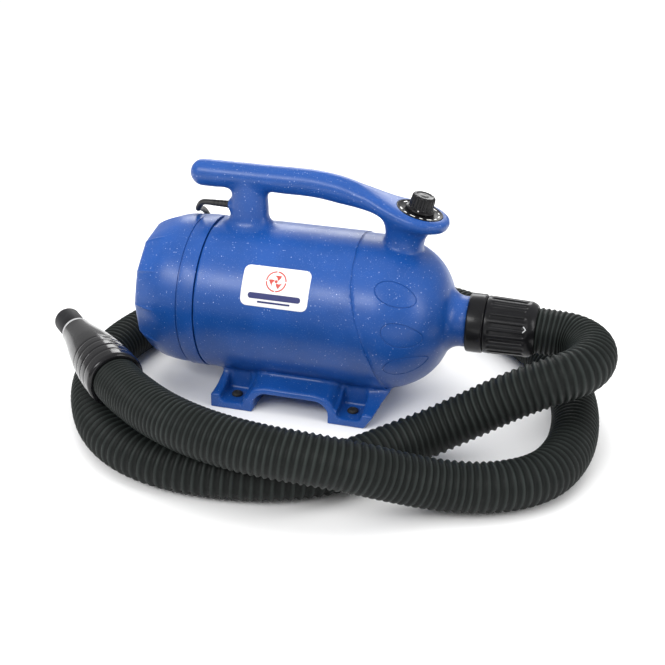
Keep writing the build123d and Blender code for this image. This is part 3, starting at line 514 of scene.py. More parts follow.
def shell_plastic(blue, white):
    """Moulded blue polyethylene with pale flecks scattered through it and a faint orange peel."""
    n = Nodes("BluePlastic")
    tone = n.span(n.noise(22, 4), 0.3, 0.7)
    body = n.mix(tone, lighter(blue, 0.90), lighter(blue, 1.10))
    fleck = n.cells(290)
    size = n.span(fleck.outputs["Color"], 0.0, 1.0, 0.02, 0.15)
    big = n.math("LESS_THAN", fleck.outputs["Distance"], size)
    dust = n.cells(700)
    small = n.math("MULTIPLY", n.math("LESS_THAN", dust.outputs["Distance"], 0.12), 0.4)
    n.colour(n.mix(n.math("MAXIMUM", n.math("MULTIPLY", big, 0.75), small), body, tuple(white)))
    n.rough(n.span(n.noise(60, 5), 0.3, 0.7, 0.30, 0.40))
    n.bump(n.noise(900, 2), 0.00006, 0.5)
    n.fixed(specular_ior_level=0.42, coat_weight=0.08, coat_roughness=0.25)
    return n.material


def moulded_black(name, colour, low, high, grain=0.0, coat=0.0):
    """Black moulded plastic: a slight change of tone and of gloss, and fine grain if it is textured."""
    n = Nodes(name)
    n.colour(n.mix(n.span(n.noise(45, 4), 0.3, 0.7), lighter(colour, 0.75), lighter(colour, 1.35)))
    n.rough(n.span(n.noise(130, 5), 0.25, 0.75, low, high))
    n.bump(n.noise(1800 if grain else 700, 3), 0.00008 if grain else 0.00003, 0.6 if grain else 0.3)
    n.fixed(specular_ior_level=0.22, coat_weight=coat * 0.6, coat_roughness=0.12)
    return n.material


def hose_plastic(colour):
    """Matt corrugated hose: paler on the crests, partly patchy wear and partly a painted sheen, and darker in
    the valleys as painted shade.
    """
    n = Nodes("HosePlastic")
    crest = n.attribute("crest")
    cloud = n.noise(26, 5)
    # Crests paler and valleys darker: patchy wear with a painted sheen on the crests, and painted shade in
    # the valleys.
    crest_wear_and_sheen = n.math("MULTIPLY", n.span(crest, 0.45, 1.0), n.span(cloud, 0.3, 0.75, 0.35, 1.0))
    n.colour(n.mix(crest_wear_and_sheen, lighter(colour, 0.45), lighter(colour, 2.0)))
    n.rough(n.math("ADD", n.span(n.noise(240, 4), 0.3, 0.7, 0.50, 0.62), n.math("MULTIPLY", crest, -0.06)))
    n.bump(n.noise(1500, 3), 0.00007, 0.5)
    n.fixed(specular_ior_level=0.14)
    return n.material


def soft_rubber(name, colour, rough=0.7):
    """Dull rubber with a fine powdery surface."""
    n = Nodes(name)
    n.colour(n.mix(n.noise(80, 5), lighter(colour, 0.8), lighter(colour, 1.5)))
    n.rough(n.span(n.noise(300, 3), 0.3, 0.7, rough - 0.08, rough + 0.08))
    n.bump(n.noise(1300, 2), 0.00006, 0.5)
    return n.material


def bare_metal(name, colour, low, high, brushed=None):
    """Metal whose gloss varies, brushed along one axis if a stretch is given."""
    n = Nodes(name)
    vector = n.place
    if brushed:
        stretch = n.add("ShaderNodeMapping")
        stretch.inputs["Scale"].default_value = brushed
        n.wire(n.place, stretch.inputs["Vector"])
        vector = stretch.outputs["Vector"]
    streak = n.noise(240, 5, 0.6, vector)
    n.colour(n.mix(n.noise(35, 3), lighter(colour, 0.86), lighter(colour, 1.06)))
    n.rough(n.span(streak, 0.25, 0.75, low, high))
    n.bump(streak, 0.00004, 0.4)
    n.fixed(metallic=1.0)
    return n.material


def wound_copper():
    """Enamelled wire wound round an axis: fine parallel turns."""
    n = Nodes("WoundCopper")
    wave = n.add("ShaderNodeTexWave", wave_type="BANDS", bands_direction="X")
    wave.inputs["Scale"].default_value = 330
    wave.inputs["Distortion"].default_value = 0.6
    n.wire(n.place, wave.inputs["Vector"])
    n.colour(n.mix(wave.outputs["Fac"], (0.20, 0.055, 0.020), (0.62, 0.24, 0.09)))
    n.rough(n.span(n.noise(90), 0.3, 0.7, 0.28, 0.42))
    n.bump(wave.outputs["Fac"], 0.0004, 0.8)
    n.fixed(metallic=1.0)
    return n.material


def open_foam():
    """Grey filter foam with open cells."""
    n = Nodes("FilterFoam")
    cell = n.cells(430)
    n.colour(n.mix(cell.outputs["Distance"], (0.16, 0.16, 0.155), (0.035, 0.035, 0.035)))
    n.rough(n.span(n.noise(200), 0.3, 0.7, 0.88, 0.98))
    n.bump(cell.outputs["Distance"], 0.001, 0.9)
    return n.material


def woven_screen():
    """Fine metal mesh, as the shading of its wires."""
    n = Nodes("WovenScreen")
    bands = []
    for direction in ("Y", "Z"):
        wave = n.add("ShaderNodeTexWave", wave_type="BANDS", bands_direction=direction)
        wave.inputs["Scale"].default_value = 260
        n.wire(n.place, wave.inputs["Vector"])
        bands.append(wave.outputs["Fac"])
    wire = n.math("MAXIMUM", *bands)
    n.colour(n.mix(n.span(wire, 0.55, 0.8), (0.012, 0.012, 0.012), (0.42, 0.42, 0.40)))
    n.rough(n.span(n.noise(90), 0.3, 0.7, 0.3, 0.45))
    n.bump(wire, 0.0005, 0.9)
    n.fixed(metallic=0.6)
    return n.material


def circuit_green():
    """Lacquered board with a hint of its tracks."""
    n = Nodes("CircuitGreen")
    track = n.add("ShaderNodeTexBrick")
    track.inputs["Scale"].default_value = 260
    n.wire(n.place, track.inputs["Vector"])
    n.colour(n.mix(track.outputs["Fac"], (0.010, 0.11, 0.030), (0.020, 0.19, 0.055)))
    n.rough(n.span(n.noise(90), 0.3, 0.7, 0.25, 0.4))
    n.bump(track.outputs["Fac"], 0.00015, 0.5)
    return n.material


def printed(name, colour, rough=0.32):
    """Ink or film: one colour with a slight unevenness."""
    n = Nodes(name)
    n.colour(n.mix(n.noise(70, 4), lighter(colour, 0.93), lighter(colour, 1.03)))
    n.rough(n.span(n.noise(180, 4), 0.3, 0.7, rough - 0.05, rough + 0.06))
    n.bump(n.noise(500, 3), 0.00003, 0.3)
    return n.material


def studio_paper(colour):
    """The floor's plain paper."""
    n = Nodes("StudioPaper")
    n.colour(n.mix(n.noise(3, 2), lighter(colour, 0.99), lighter(colour, 1.01)))
    n.rough(n.span(n.noise(40, 3), 0.3, 0.7, 0.85, 0.95))
    return n.material


def paint(piece, material):
    piece.data.materials.clear()
    piece.data.materials.append(material)
    return piece


def ready(piece, body, slot_name, material, *nodes):
    """Gives a finished piece its body, its finish and the CAD nodes that it stands for; slot_name is not
    used.
    """
    paint(piece, material)
    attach(piece, body)
    if nodes:
        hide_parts(*nodes)
    return piece


# ---- The moulded body ---------------------------------------------------------------------------
SEAM_LINE = [  # degrees above level on the near side, and the nose seam's distance from the cover's seam
    (-90, 213), (-66, 211), (-50, 208), (-38, 205.7), (-16, 197.5), (3.6, 186.6), (14.6, 180), (34.5, 172.2),
    (49.5, 169.5), (72, 167.5), (90, 167.0),
]
OVALS = [(217.8, 37.6, -11), (228.4, 6.2, -22), (232.5, -22.5, -4)]  # along, degrees above level, tilt
OVAL_HALF = (21.5, 13.5)
STEP_FADES = (225, 260)         # where the nose's step runs out, from the cover's seam
CUFF_FLUTES = 22
KNOB_FLUTES = 18


def nose_seam(angle):
    """The nose seam's place for an angle above level, the same on both sides."""
    folded = np.degrees(np.arcsin(np.clip(np.sin(angle), -1, 1)))
    return np.interp(folded, [row[0] for row in SEAM_LINE], [row[1] for row in SEAM_LINE])


def handle_line(share):
    """The grip's centre, tilt, half sizes and squareness, from the free end (0) to the dial (1)."""
    last_x = PAD_X - PAD_THICKNESS / 2 * sin(PAD_TILT)
    x = BAR_START_X + (last_x - BAR_START_X) * share
    slope = -tan(PAD_TILT)
    end_z = PAD_Z - PAD_THICKNESS / 2 / cos(PAD_TILT) - (PAD_X - BAR_BEND_END) * slope
    run = BAR_BEND_END - BAR_BEND_X
    t = np.clip((x - BAR_BEND_X) / run, 0, 1)
    z = BAR_Z + (end_z - BAR_Z) * t * t * (3 - 2 * t) + slope * run * t * t * (t - 1)
    z += slope * np.clip(x - BAR_BEND_END, 0, None)
    angle = -np.arctan(((end_z - BAR_Z) * 6 * t * (1 - t) + slope * run * t * (3 * t - 2)) / run)
    back = (last_x - x) / cos(PAD_TILT)           # distance still to go to the dial's centre
    pad_width = np.clip(13.4 + (68 - back) * 0.345, 0, 33.2)
    width = np.where(back < 95, (BAR_RADIUS ** 6 + pad_width ** 6) ** (1 / 6), BAR_RADIUS)
    height = BAR_RADIUS + (PAD_THICKNESS / 2 - BAR_RADIUS) * ease(92, 16, back)
    square = 2 + 3.5 * ease(70, 15, back)
    return x, z, angle, width, height, square


def handle_bar():
    def surface(along, around):
        x, z, angle, width, height, square = handle_line(along)
        turn = 2 * pi * around
        flat = np.abs(np.cos(turn)) ** (2 / square) * np.sign(np.cos(turn)) * width
        rise = np.abs(np.sin(turn)) ** (2 / square) * np.sign(np.sin(turn)) * height
        return np.stack([SEAM_X + x + rise * np.sin(angle), flat, AXIS_Z + z + rise * np.cos(angle)], axis=1)

    bar = cap_ends(net("bar", 120, 64, surface))
    begin()
    bpy.ops.mesh.primitive_uv_sphere_add(segments=48, ring_count=24, radius=1)
    end = fresh("bar_end")
    put_points(end, points_of(end) * MM * BAR_RADIUS + np.array((SEAM_X + BAR_START_X, 0, AXIS_Z + BAR_Z)))
    pad = turned("pad", [
        (0, 0), *arc(-4, PAD_RADIUS - 4, 4, 0, 90, 6), *arc(-9, PAD_RADIUS - 6, 6, 90, 180, 6),
        (-PAD_THICKNESS, 0)], DIAL, 96)
    return [bar, end, pad]


def post(name, x, root, top, rings, lean=0.0, saddle=0.0):
    """An oval post from inside the barrel to inside the grip: rings give share of height and half sizes.

    Its lower rings bend down with the barrel, up to the share of height that saddle gives.
    """
    shares, lengths, widths = (np.array(column, float) for column in zip(*rings))

    def surface(up, around):
        turn = 2 * pi * around
        length, width = np.interp(up, shares, lengths), np.interp(up, shares, widths)
        tilt = PAD_TILT * up if lean else 0
        across, y = length * np.cos(turn), width * np.sin(turn)
        droop = BARREL_RADIUS - np.sqrt(BARREL_RADIUS ** 2 - y ** 2)
        sag = droop * (1 - ease(saddle, 2 * saddle + 0.01, up))
        z = root + (top - root) * up - across * np.sin(tilt) - sag
        return np.stack([SEAM_X + x + lean * up + across * np.cos(tilt), y, AXIS_Z + z], axis=1)

    return cap_ends(net(name, 48, 48, surface))


def base_block():
    """The foot rail: a lip all round, hollow-curved ribs up to the barrel, and the arch between the feet."""
    def arch_edge(x):
        """Height of the arch's opening at x, with its round corners."""
        inside = np.clip(np.minimum(x - 66, 152 - x), 0, 16)
        return np.where((x > 66) & (x < 152), 8 + np.sqrt(np.clip(16 ** 2 - (16 - inside) ** 2, 0, None)), 0)

    def surface(along, across):
        x = 11 + 204 * along
        y = -82 + 164 * across
        near = 82 - np.abs(y)
        shifts = np.linspace(-7, 7, 15)
        spread = np.max([arch_edge(x + shift) - 0.25 * abs(shift) for shift in shifts], axis=0)
        lip = np.maximum(15.0, spread + 6.0)
        ledge = lip + 2.0 * ease(0, 3, near)
        rise = ledge + 0.0042 * np.clip(near - 3, 0, None) ** 2.35
        return np.stack([SEAM_X + x, y, np.clip(rise, 0, 46)], axis=1)

    rail = net("base", 102, 82, surface)
    hold(rail)
    bpy.ops.object.mode_set(mode="EDIT")
    bpy.ops.mesh.select_all(action="SELECT")
    bpy.ops.mesh.extrude_region_move(TRANSFORM_OT_translate={"value": (0, 0, -0.01)})
    bpy.ops.object.mode_set(mode="OBJECT")
    points = points_of(rail)
    chosen = np.array([vertex.select for vertex in rail.data.vertices])
    points[chosen, 2] = 0
    put_points(rail, points)
    close_up(rail)
    for end_x, end_z, normal in ((17.0, 0, (-1, 0, 0)), (17.0, 15, (-30, 0, 7)), (193.0, 0, (30, 0, -20))):
        hold(rail)
        bpy.ops.object.mode_set(mode="EDIT")
        bpy.ops.mesh.select_all(action="SELECT")
        bpy.ops.mesh.bisect(
            plane_co=((SEAM_X + end_x) * MM, 0, end_z * MM), plane_no=Vector(normal).normalized(),
            use_fill=True, clear_outer=True)
        bpy.ops.object.mode_set(mode="OBJECT")
    combine(rail, block("arch", (SEAM_X + 109, 0, 0), (86, 200, 48), 16, 8))
    for x, y in FEET:
        side = 1 if y > 0 else -1
        combine(rail, block("pocket", (x, side * 72, BASE_TOP_Z + 30), (27, 50, 60), 3, 3))
    return rail


def boss():
    """The rounded boss that the cord goes into."""
    place = place_along((SEAM_X + REAR_POST_X - 25, 0, AXIS_Z + BOSS_Z), (1, 0, 0), (0, 0, 1))
    return turned("boss", [(0, 0), (0, 5), (0.6, 6.6), (2, 7.8), (5, 8.6), (20, 9.5), (20, 0)], place, 40)


def crease_weights(points):
    """How much each vertex of the shell is smoothed: most where a post meets the body or the grip."""
    x, y, z = points[:, 0] - SEAM_X, points[:, 1], points[:, 2] - AXIS_Z
    crown = np.sqrt(np.clip(BARREL_RADIUS ** 2 - y ** 2, 0, None))
    oval = np.hypot((x - REAR_POST_X) / 21.5, y / 16)
    low = np.hypot((oval - 1) * 18, z - crown)
    weight = 0.5 * (1 - ease(9, 22, low))
    under = np.hypot((oval - 1) * 17, z - 126)
    weight = np.maximum(weight, 0.55 * (1 - ease(5, 15, under)))
    beside = np.hypot((x - REAR_POST_X + 22), np.hypot(y, z - BOSS_Z) - 8)
    weight = np.maximum(weight, 0.12 * (1 - ease(2, 6, beside)))
    along = (x - PAD_X) * cos(PAD_TILT) - (z - PAD_Z) * sin(PAD_TILT)
    above = (x - PAD_X) * sin(PAD_TILT) + (z - PAD_Z) * cos(PAD_TILT)
    neck = np.hypot((along + 12) / 28, y / 28)
    below = np.hypot((neck - 1) * 28, above + PAD_THICKNESS)
    weight = np.maximum(weight, 1 - ease(12, 28, below))
    return np.maximum(weight, 0.05)


def snap_to_body(points):
    """Puts vertices that lie on the plain barrel, dome and neck exactly on them."""
    x, y, z = points[:, 0] - SEAM_X, points[:, 1], points[:, 2] - AXIS_Z
    around = np.hypot(y, z)
    target = outline_radius(x)
    clear_rear = np.hypot(x - REAR_POST_X, y) > 48
    clear_front = np.hypot(x - FRONT_POST_X, y) > 33
    free = (z < 20) | (clear_rear & clear_front)
    free &= (z > -62) | (x > 222)
    on_it = (np.abs(around - target) < 0.8) & (x > 2.5) & (x < NECK_END - 1.5) & free
    scale = np.where(on_it, target / np.maximum(around, 1e-6), 1)
    points[:, 1], points[:, 2] = y * scale, z * scale + AXIS_Z
    return points


def surface_loop(name, place_on, count, thickness):
    """A thin closed ring of round section whose middle follows points of the surface."""
    middle = np.array([place_on(2 * pi * k / count) for k in range(count)])
    ahead = np.roll(middle, -1, axis=0) - np.roll(middle, 1, axis=0)
    ahead /= np.linalg.norm(ahead, axis=1)[:, None]
    out = middle - np.array([[point[0], 0, AXIS_Z] for point in middle])
    out -= ahead * np.sum(out * ahead, axis=1)[:, None]
    out /= np.linalg.norm(out, axis=1)[:, None]
    side = np.cross(ahead, out)

    def surface(along, around):
        k = np.round(along * count).astype(int) % count
        turn = (2 * pi * around)[:, None]
        return middle[k] + thickness * (np.cos(turn) * out[k] + np.sin(turn) * side[k])

    return close_up(net(name, count, 8, surface))


class DRYER_OT_main_housing(Operator):
    """Moulded body: barrel, nose, foot rail, posts and grip in one shell"""
    bl_idname = "dryer.main_housing"
    bl_label = "Main housing"

    def execute(self, context):
        sizes, finishes = context.scene.dryer_body, context.scene.dryer_finishes
        barrel = turned("barrel", body_profile(0, 0.3, NECK_END, 24), BARREL, 160)
        rear = post("rear_post", REAR_POST_X, 66, 137, [
            (0, 36, 30), (0.24, 36, 30), (0.275, 30, 24), (0.29, 28, 22), (0.32, 25.3, 19.2),
            (0.36, 23.1, 17.2),
            (0.42, 21.6, 15.8), (0.75, 20.4, 14.4), (0.86, 22, 14.0), (1, 24, 13.5)],
            saddle=0.42)
        front = post("front_post", FRONT_POST_X, 58, 112, [
            (0, 21, 22), (0.45, 21, 22), (0.62, 21.8, 22), (0.76, 24.0, 23.5), (0.88, 28.5, 27),
            (1, 35, 31)], 5.0)
        housing = join("main_housing_skin", [barrel, rear, front, *handle_bar(), base_block(), boss()])
        apply_modifier(housing, "REMESH", mode="VOXEL", voxel_size=sizes.remesh_size, adaptivity=0.0)
        group = housing.vertex_groups.new(name="blend")
        for vertex, weight in zip(housing.data.vertices, crease_weights(points_of(housing))):
            group.add([vertex.index], float(weight), "REPLACE")
        apply_modifier(housing, "SMOOTH", factor=0.5, iterations=sizes.blend_passes, vertex_group="blend")
        housing.vertex_groups.clear()
        points = snap_to_body(points_of(housing))
        x, y, z = points[:, 0] - SEAM_X, points[:, 1], points[:, 2] - AXIS_Z
        ahead = x - nose_seam(np.arctan2(z, np.abs(y)))
        around = np.hypot(y, z)
        on_nose = (x < NECK_END - 12) * (around < BARREL_RADIUS + 2)
        step = sizes.step_depth / MM * ease(-0.2, 1.2, ahead) * on_nose
        shrink = 1 - step * (1 - ease(*STEP_FADES, x)) / np.maximum(around, 1)
        points[:, 1], points[:, 2] = y * shrink, z * shrink + AXIS_Z
        put_points(housing, points)
        combine(housing, turned("cavity", body_profile(WALL, -5, NECK_END + 5, 16), BARREL, 96))
        combine(housing, turned("dial_recess", [(-1.2, 0), (-1.2, 25.8), (3, 25.8), (3, 0)], DIAL, 72))
        combine(housing, turned("bush_hole", [(-9, 0), (-9, 4.8), (3, 4.8), (3, 0)], DIAL, 32))
        half = sizes.groove_width / MM / 2

        def seam_point(angle):
            x = float(nose_seam(angle))
            radius = float(outline_radius(x)) - 0.3
            return SEAM_X + x, -radius * cos(angle), AXIS_Z + radius * sin(angle)

        combine(housing, surface_loop("nose_line", seam_point, 220, half))
        for side in (1, -1):
            for along, above, tilt in OVALS:
                def oval_point(angle):
                    u, v = OVAL_HALF[0] * cos(angle), OVAL_HALF[1] * sin(angle)
                    u, v = (u * cos(radians(tilt)) - v * sin(radians(tilt)),
                            u * sin(radians(tilt)) + v * cos(radians(tilt)))
                    x = along + u
                    stepped = sizes.step_depth / MM * float(1 - ease(*STEP_FADES, x))
                    radius = float(outline_radius(x)) - stepped
                    turn = radians(above) + v / BARREL_RADIUS
                    return SEAM_X + x, -side * radius * cos(turn), AXIS_Z + radius * sin(turn)

                combine(housing, surface_loop("oval_line", oval_point, 72, half))
        soften(housing, 40)
        ready(housing, "housing", "blue_housing", shell_plastic(finishes.shell_blue, finishes.fleck_white),
              "main_housing")
        return {"FINISHED"}


class DRYER_OT_rear_cover(Operator):
    """Rear cover: band, step, ridged crown, slotted back and its spigot"""
    bl_idname = "dryer.rear_cover"
    bl_label = "Rear cover"

    def execute(self, context):
        crown_radius = 82.0
        centre_r = BARREL_RADIUS - 1.2 - crown_radius
        back_angle = 90 + degrees(asin((COVER_LENGTH - 27 - 4) / crown_radius))
        profile = [
            (-0.1, 84.0), (-0.1, 85.7), (-0.2, 85.9), (-0.5, 86.0), (-17.2, 86.0), (-17.7, 85.8),
            (-18.0, 85.3),
            (-18.0, 83.9), (-19.5, 83.9), (-19.8, 84.7), (-20.3, 84.8), (-26.0, 84.8),
            *arc(-27, centre_r, crown_radius, 90, back_angle, 26)[1:],
            (-73.6, 69.6), (-74.6, 67.6), (-75, 65), (-75, 52), (-75, 36), (-75, 18), (-75, 0),
            (-72, 0), (-72, 62), (-70, 67),
            *arc(-27, centre_r, crown_radius - WALL, back_angle - 3, 90, 10),
            (-3.3, 82.9), (-3.3, 79.4), (12, 79.4), (12, 81.4), (-0.3, 81.4),
        ]
        cover = turned("cover_skin", profile, BARREL, 288)
        points = points_of(cover)
        x, y, z = points[:, 0] - SEAM_X, points[:, 1], points[:, 2] - AXIS_Z
        around = np.hypot(y, z)
        angle = np.degrees(np.arctan2(z, y))
        off_middle = (angle + 2.5) % 30 - 15
        inner = around < np.interp(x, (-75, -71, -60, -27), (0, 69.2, 76, 82.6)) - 0.8
        hollow = 1.9 * ease(-38, -66, x) * (1 - (np.abs(off_middle) / 15) ** 1.6)
        hollow -= 0.55 * ease(-44, -50, x) * (np.abs(off_middle) > 14.2)
        shrink = np.where(inner | (x > -30) | (x < -74.9), 1, 1 - hollow / np.maximum(around, 1))
        points[:, 1], points[:, 2] = y * shrink, z * shrink + AXIS_Z
        put_points(cover, points)
        slots = []
        for radius, count in ((18, 10), (34, 20), (50, 30)):
            for k in range(count):
                slot = block("slot", (radius, 0, 0), (13, 3.2, 12), 1.5, 2)
                slot.data.transform(Matrix.Rotation(2 * pi * k / count, 4, "Z"))
                slot.data.transform(BARREL @ Matrix.Translation((0, 0, -COVER_LENGTH * MM)))
                slots.append(slot)
        combine(cover, join("slots", slots))
        soften(cover, 32)
        finish = bpy.data.materials["BluePlastic"]
        ready(cover, "cover", "blue_housing", finish, "rear_cover")
        return {"FINISHED"}


# ---- Outlet, hose and handpiece ----------------------------------------------------------------
class DRYER_OT_outlet(Operator):
    """Outlet ring on the neck, and the fluted cuff that turns on it"""
    bl_idname = "dryer.outlet"
    bl_label = "Outlet ring and cuff"

    def execute(self, context):
        trim = moulded_black("TrimPlastic", context.scene.dryer_finishes.trim_black, 0.26, 0.36, 0, 0.2)
        bore = NECK_RADIUS - WALL - 1.5
        start = NECK_END + 0.05
        ring = turned("outlet_ring_skin", [
            (start, bore), (start, 30.4), (start + 0.5, 31.4), (start + 1.6, 32.1), (start + 2.6, 32.2),
            (RING_END - 2.4, 32.2), (RING_END - 1.2, 31.9), (RING_END - 0.4, 31.2), (RING_END, 30.2),
            (RING_END, 26.0), (RING_END + 14, 26.0), (RING_END + 14, bore)], BARREL, 128)
        soften(ring)
        ready(ring, "housing", "gloss_black", trim, "outlet_ring")

        a = RING_END + 0.3
        shoulder = CUFF_END - 6.5
        body = [(a + d, 31.3 - 1.2 * d / 46) for d in np.linspace(2.2, shoulder - a - 0.8, 40)]
        cuff = turned("hose_cuff_skin", [
            (a, 26.3), (a, 30.0), (a + 0.4, 30.8), (a + 1.2, 31.25), *body,
            (shoulder + 0.4, 29.9), (CUFF_END - 1.8, 27.9), (CUFF_END - 0.9, 27.2), (CUFF_END, 26.4),
            (CUFF_END, 25.3), (a + 16, 25.3), (a + 16, 26.3)], BARREL, 264)
        points = points_of(cuff)
        x, y, z = points[:, 0] - SEAM_X, points[:, 1], points[:, 2] - AXIS_Z
        around = np.hypot(y, z)
        # off is 1 on a land and 0 in a flute.
        off = np.abs((np.degrees(np.arctan2(z, y)) / (360 / CUFF_FLUTES)) % 1 - 0.5) * 2
        ends = ease(a + 4.0, a + 7.5, x) * (1 - ease(shoulder - 6.5, shoulder - 2.5, x))
        groove = 1.35 * (1 - ease(0.30, 0.62, off)) * ends * (around > 29)
        shrink = 1 - groove / np.maximum(around, 1)
        points[:, 1], points[:, 2] = y * shrink, z * shrink + AXIS_Z
        put_points(cuff, points)
        soften(cuff, 40)
        ready(cuff, "cuff", "gloss_black", trim, "hose_cuff")

        # A small raised grey chevron at the cuff's end stands for the light seen in a notch there: a painted
        # highlight.
        highlight_strokes = []
        for lean in (-1, 1):
            highlight_stroke = block("highlight_stroke", (lean * 1.9, 0, 0), (5.0, 1.1, 0.5), 0.2, 1)
            highlight_stroke.data.transform(Matrix.Rotation(lean * radians(-42), 4, "Z"))
            highlight_strokes.append(highlight_stroke)
        chevron = join("cuff_notch_highlight", highlight_strokes)
        on_cuff = Matrix.Translation((30.35 * MM, 0, (shoulder - 2.6) * MM))
        chevron.data.transform(on_cuff @ Matrix.Rotation(pi / 2, 4, "Y")
                               @ Matrix.Rotation(pi / 2, 4, "Z"))
        chevron.data.transform(BARREL @ Matrix.Rotation(radians(68), 4, "Z"))
        # The chevron's grey is a painted highlight of the notch.
        ready(chevron, "cuff", "gloss_black", printed("NotchHighlightGrey", (0.55, 0.56, 0.57)))
        return {"FINISHED"}


class DRYER_OT_hose(Operator):
    """Corrugated hose: one ribbed tube laid along the hose's own curve"""
    bl_idname = "dryer.hose"
    bl_label = "Hose"

    def execute(self, context):
        sizes = context.scene.dryer_hose
        line, gone = read_line("hose_line", HOSE_ROUTE)
        length = gone[-1]
        fine = np.linspace(0, length, 9000)
        # The hose is drawn out where it crosses in front and pushed together towards both ends.
        stretch = np.interp(fine / length, (0, 0.06, 0.15, 0.32, 0.42, 0.62, 0.82, 0.93, 1),
                            (0.62, 0.74, 1, 1, 0.76, 0.76, 0.88, 0.70, 0.50))
        pitch = sizes.rib_pitch / MM * stretch
        phase = np.concatenate([[0], np.cumsum(np.diff(fine) / pitch[:-1])])
        ribs = int(phase[-1])
        rings, sides = ribs * 7, 34
        where = np.interp(np.linspace(0, ribs, rings + 1), phase, fine)
        middle = np.stack([np.interp(where, gone, line[:, axis]) for axis in range(3)], axis=1)
        side, lift = carried_frames(middle)
        crest, height = sizes.radius / MM, sizes.rib_height / MM

        bore = crest - sizes.wall / MM - height
        inner_rings = 240
        rows = rings + inner_rings + 2          # out along the ribs, back along the bore, and closed

        drawn = np.interp(where, fine, stretch)

        def wave(ring, around):
            rise = 0.5 + 0.5 * np.cos(2 * pi * (ring / rings * ribs + around))
            return rise ** np.interp(drawn[ring], (0.6, 1), (0.8, 1.5))

        def surface(along, around):
            row = np.round(along * rows).astype(int)
            back = np.clip(row - rings - 1, 0, inner_rings)
            ring = np.where(row <= rings, row, np.round((1 - back / inner_rings) * rings).astype(int))
            ring = np.where(row == rows, 0, ring)
            ribbed = (row <= rings) | (row == rows)
            depth = height * np.interp(drawn[ring], (0.5, 1), (0.5, 1))
            radius = np.where(ribbed, crest - depth * (1 - wave(ring, around)), bore)[:, None]
            turn = (2 * pi * around)[:, None]
            return middle[ring] + radius * (np.cos(turn) * side[ring] + np.sin(turn) * lift[ring])

        hose = net("hose_tube", rows, sides, surface)
        count = np.arange((rows + 1) * (sides + 1))
        ring, around = np.minimum(count // (sides + 1), rings), (count % (sides + 1)) / sides
        # This crest share feeds the hose finish's painted sheen on the crests and painted shade in the
        # valleys.
        spread_over(hose, "crest", wave(ring, around))
        close_up(hose, 0.002)
        bpy.ops.object.shade_smooth()
        ready(hose, "housing", "hose_black", hose_plastic(context.scene.dryer_finishes.hose_black), "hose")
        return {"FINISHED"}


class DRYER_OT_handpiece(Operator):
    """Tapered handpiece with its grip lines, pale-edged ring (its grey a painted highlight) and pull-out tip
    """
    bl_idname = "dryer.handpiece"
    bl_label = "Handpiece"

    def execute(self, context):
        colour = context.scene.dryer_finishes.trim_black
        along = np.array([3.5, 20, 35.4, 54, 73.2, 92, 107, 118.0])
        radii = np.array([30, 29.85, 29.0, 27.2, 24.6, 21.0, 18.2, 16.5])
        outside = []
        for x in np.arange(3.5, 118.01, 1.25):
            radius = float(np.interp(x, along, radii))
            smooth = float(np.polyval(np.polyfit(along, radii, 4), x))
            outside.append((x, min(30.0, 0.3 * radius + 0.7 * smooth)))
        grooves = []
        for x, radius in outside:
            dip = max((0.75 * max(0.0, 1 - abs(x - line) / 1.3) for line in (14, 26, 38, 50)), default=0)
            grooves.append((x, radius - dip))
        handpiece = turned("handpiece_skin", [
            (0, 25.3), (0, 27.4), (0.5, 28.8), (1.6, 29.6), *grooves, (118, 14.7), (102, 14.7),
            (20, 22.2), (15, 25.3)], NOZZLE, 128)
        soften(handpiece, 50)
        gloss = moulded_black("GripPlastic", colour, 0.13, 0.22, 0, 0.5)
        ready(handpiece, "housing", "gloss_black", gloss, "handpiece")

        # The ring's pale grey stands for the light in the gap between collar and tip: a painted highlight.
        ring = turned("nozzle_ring_skin", [
            (118.02, 14.7), (118.02, 16.2), (118.4, 16.6), (120.2, 16.6), (120.8, 16.3), (121, 15.6),
            (121, 14.7)], NOZZLE, 96)
        soften(ring, 40)
        ready(ring, "housing", "grey_ring", printed("RingPaintedHighlight", (0.42, 0.42, 0.43), 0.3), "nozzle_ring")

        tip = turned("nozzle_tip_skin", [
            (104, 12.7), (104, 14.4), (121.4, 14.4), (121.8, 14.5), (151.6, 14.5), (152.5, 14.2), (153, 13.6),
            (152.8, 12.9), (152, 12.7)], NOZZLE, 96)
        soften(tip, 40)
        matt = moulded_black("TipPlastic", lighter(colour, 1.6), 0.5, 0.6, 1)
        ready(tip, "tip", "black_plastic", matt, "nozzle_tip")
        return {"FINISHED"}


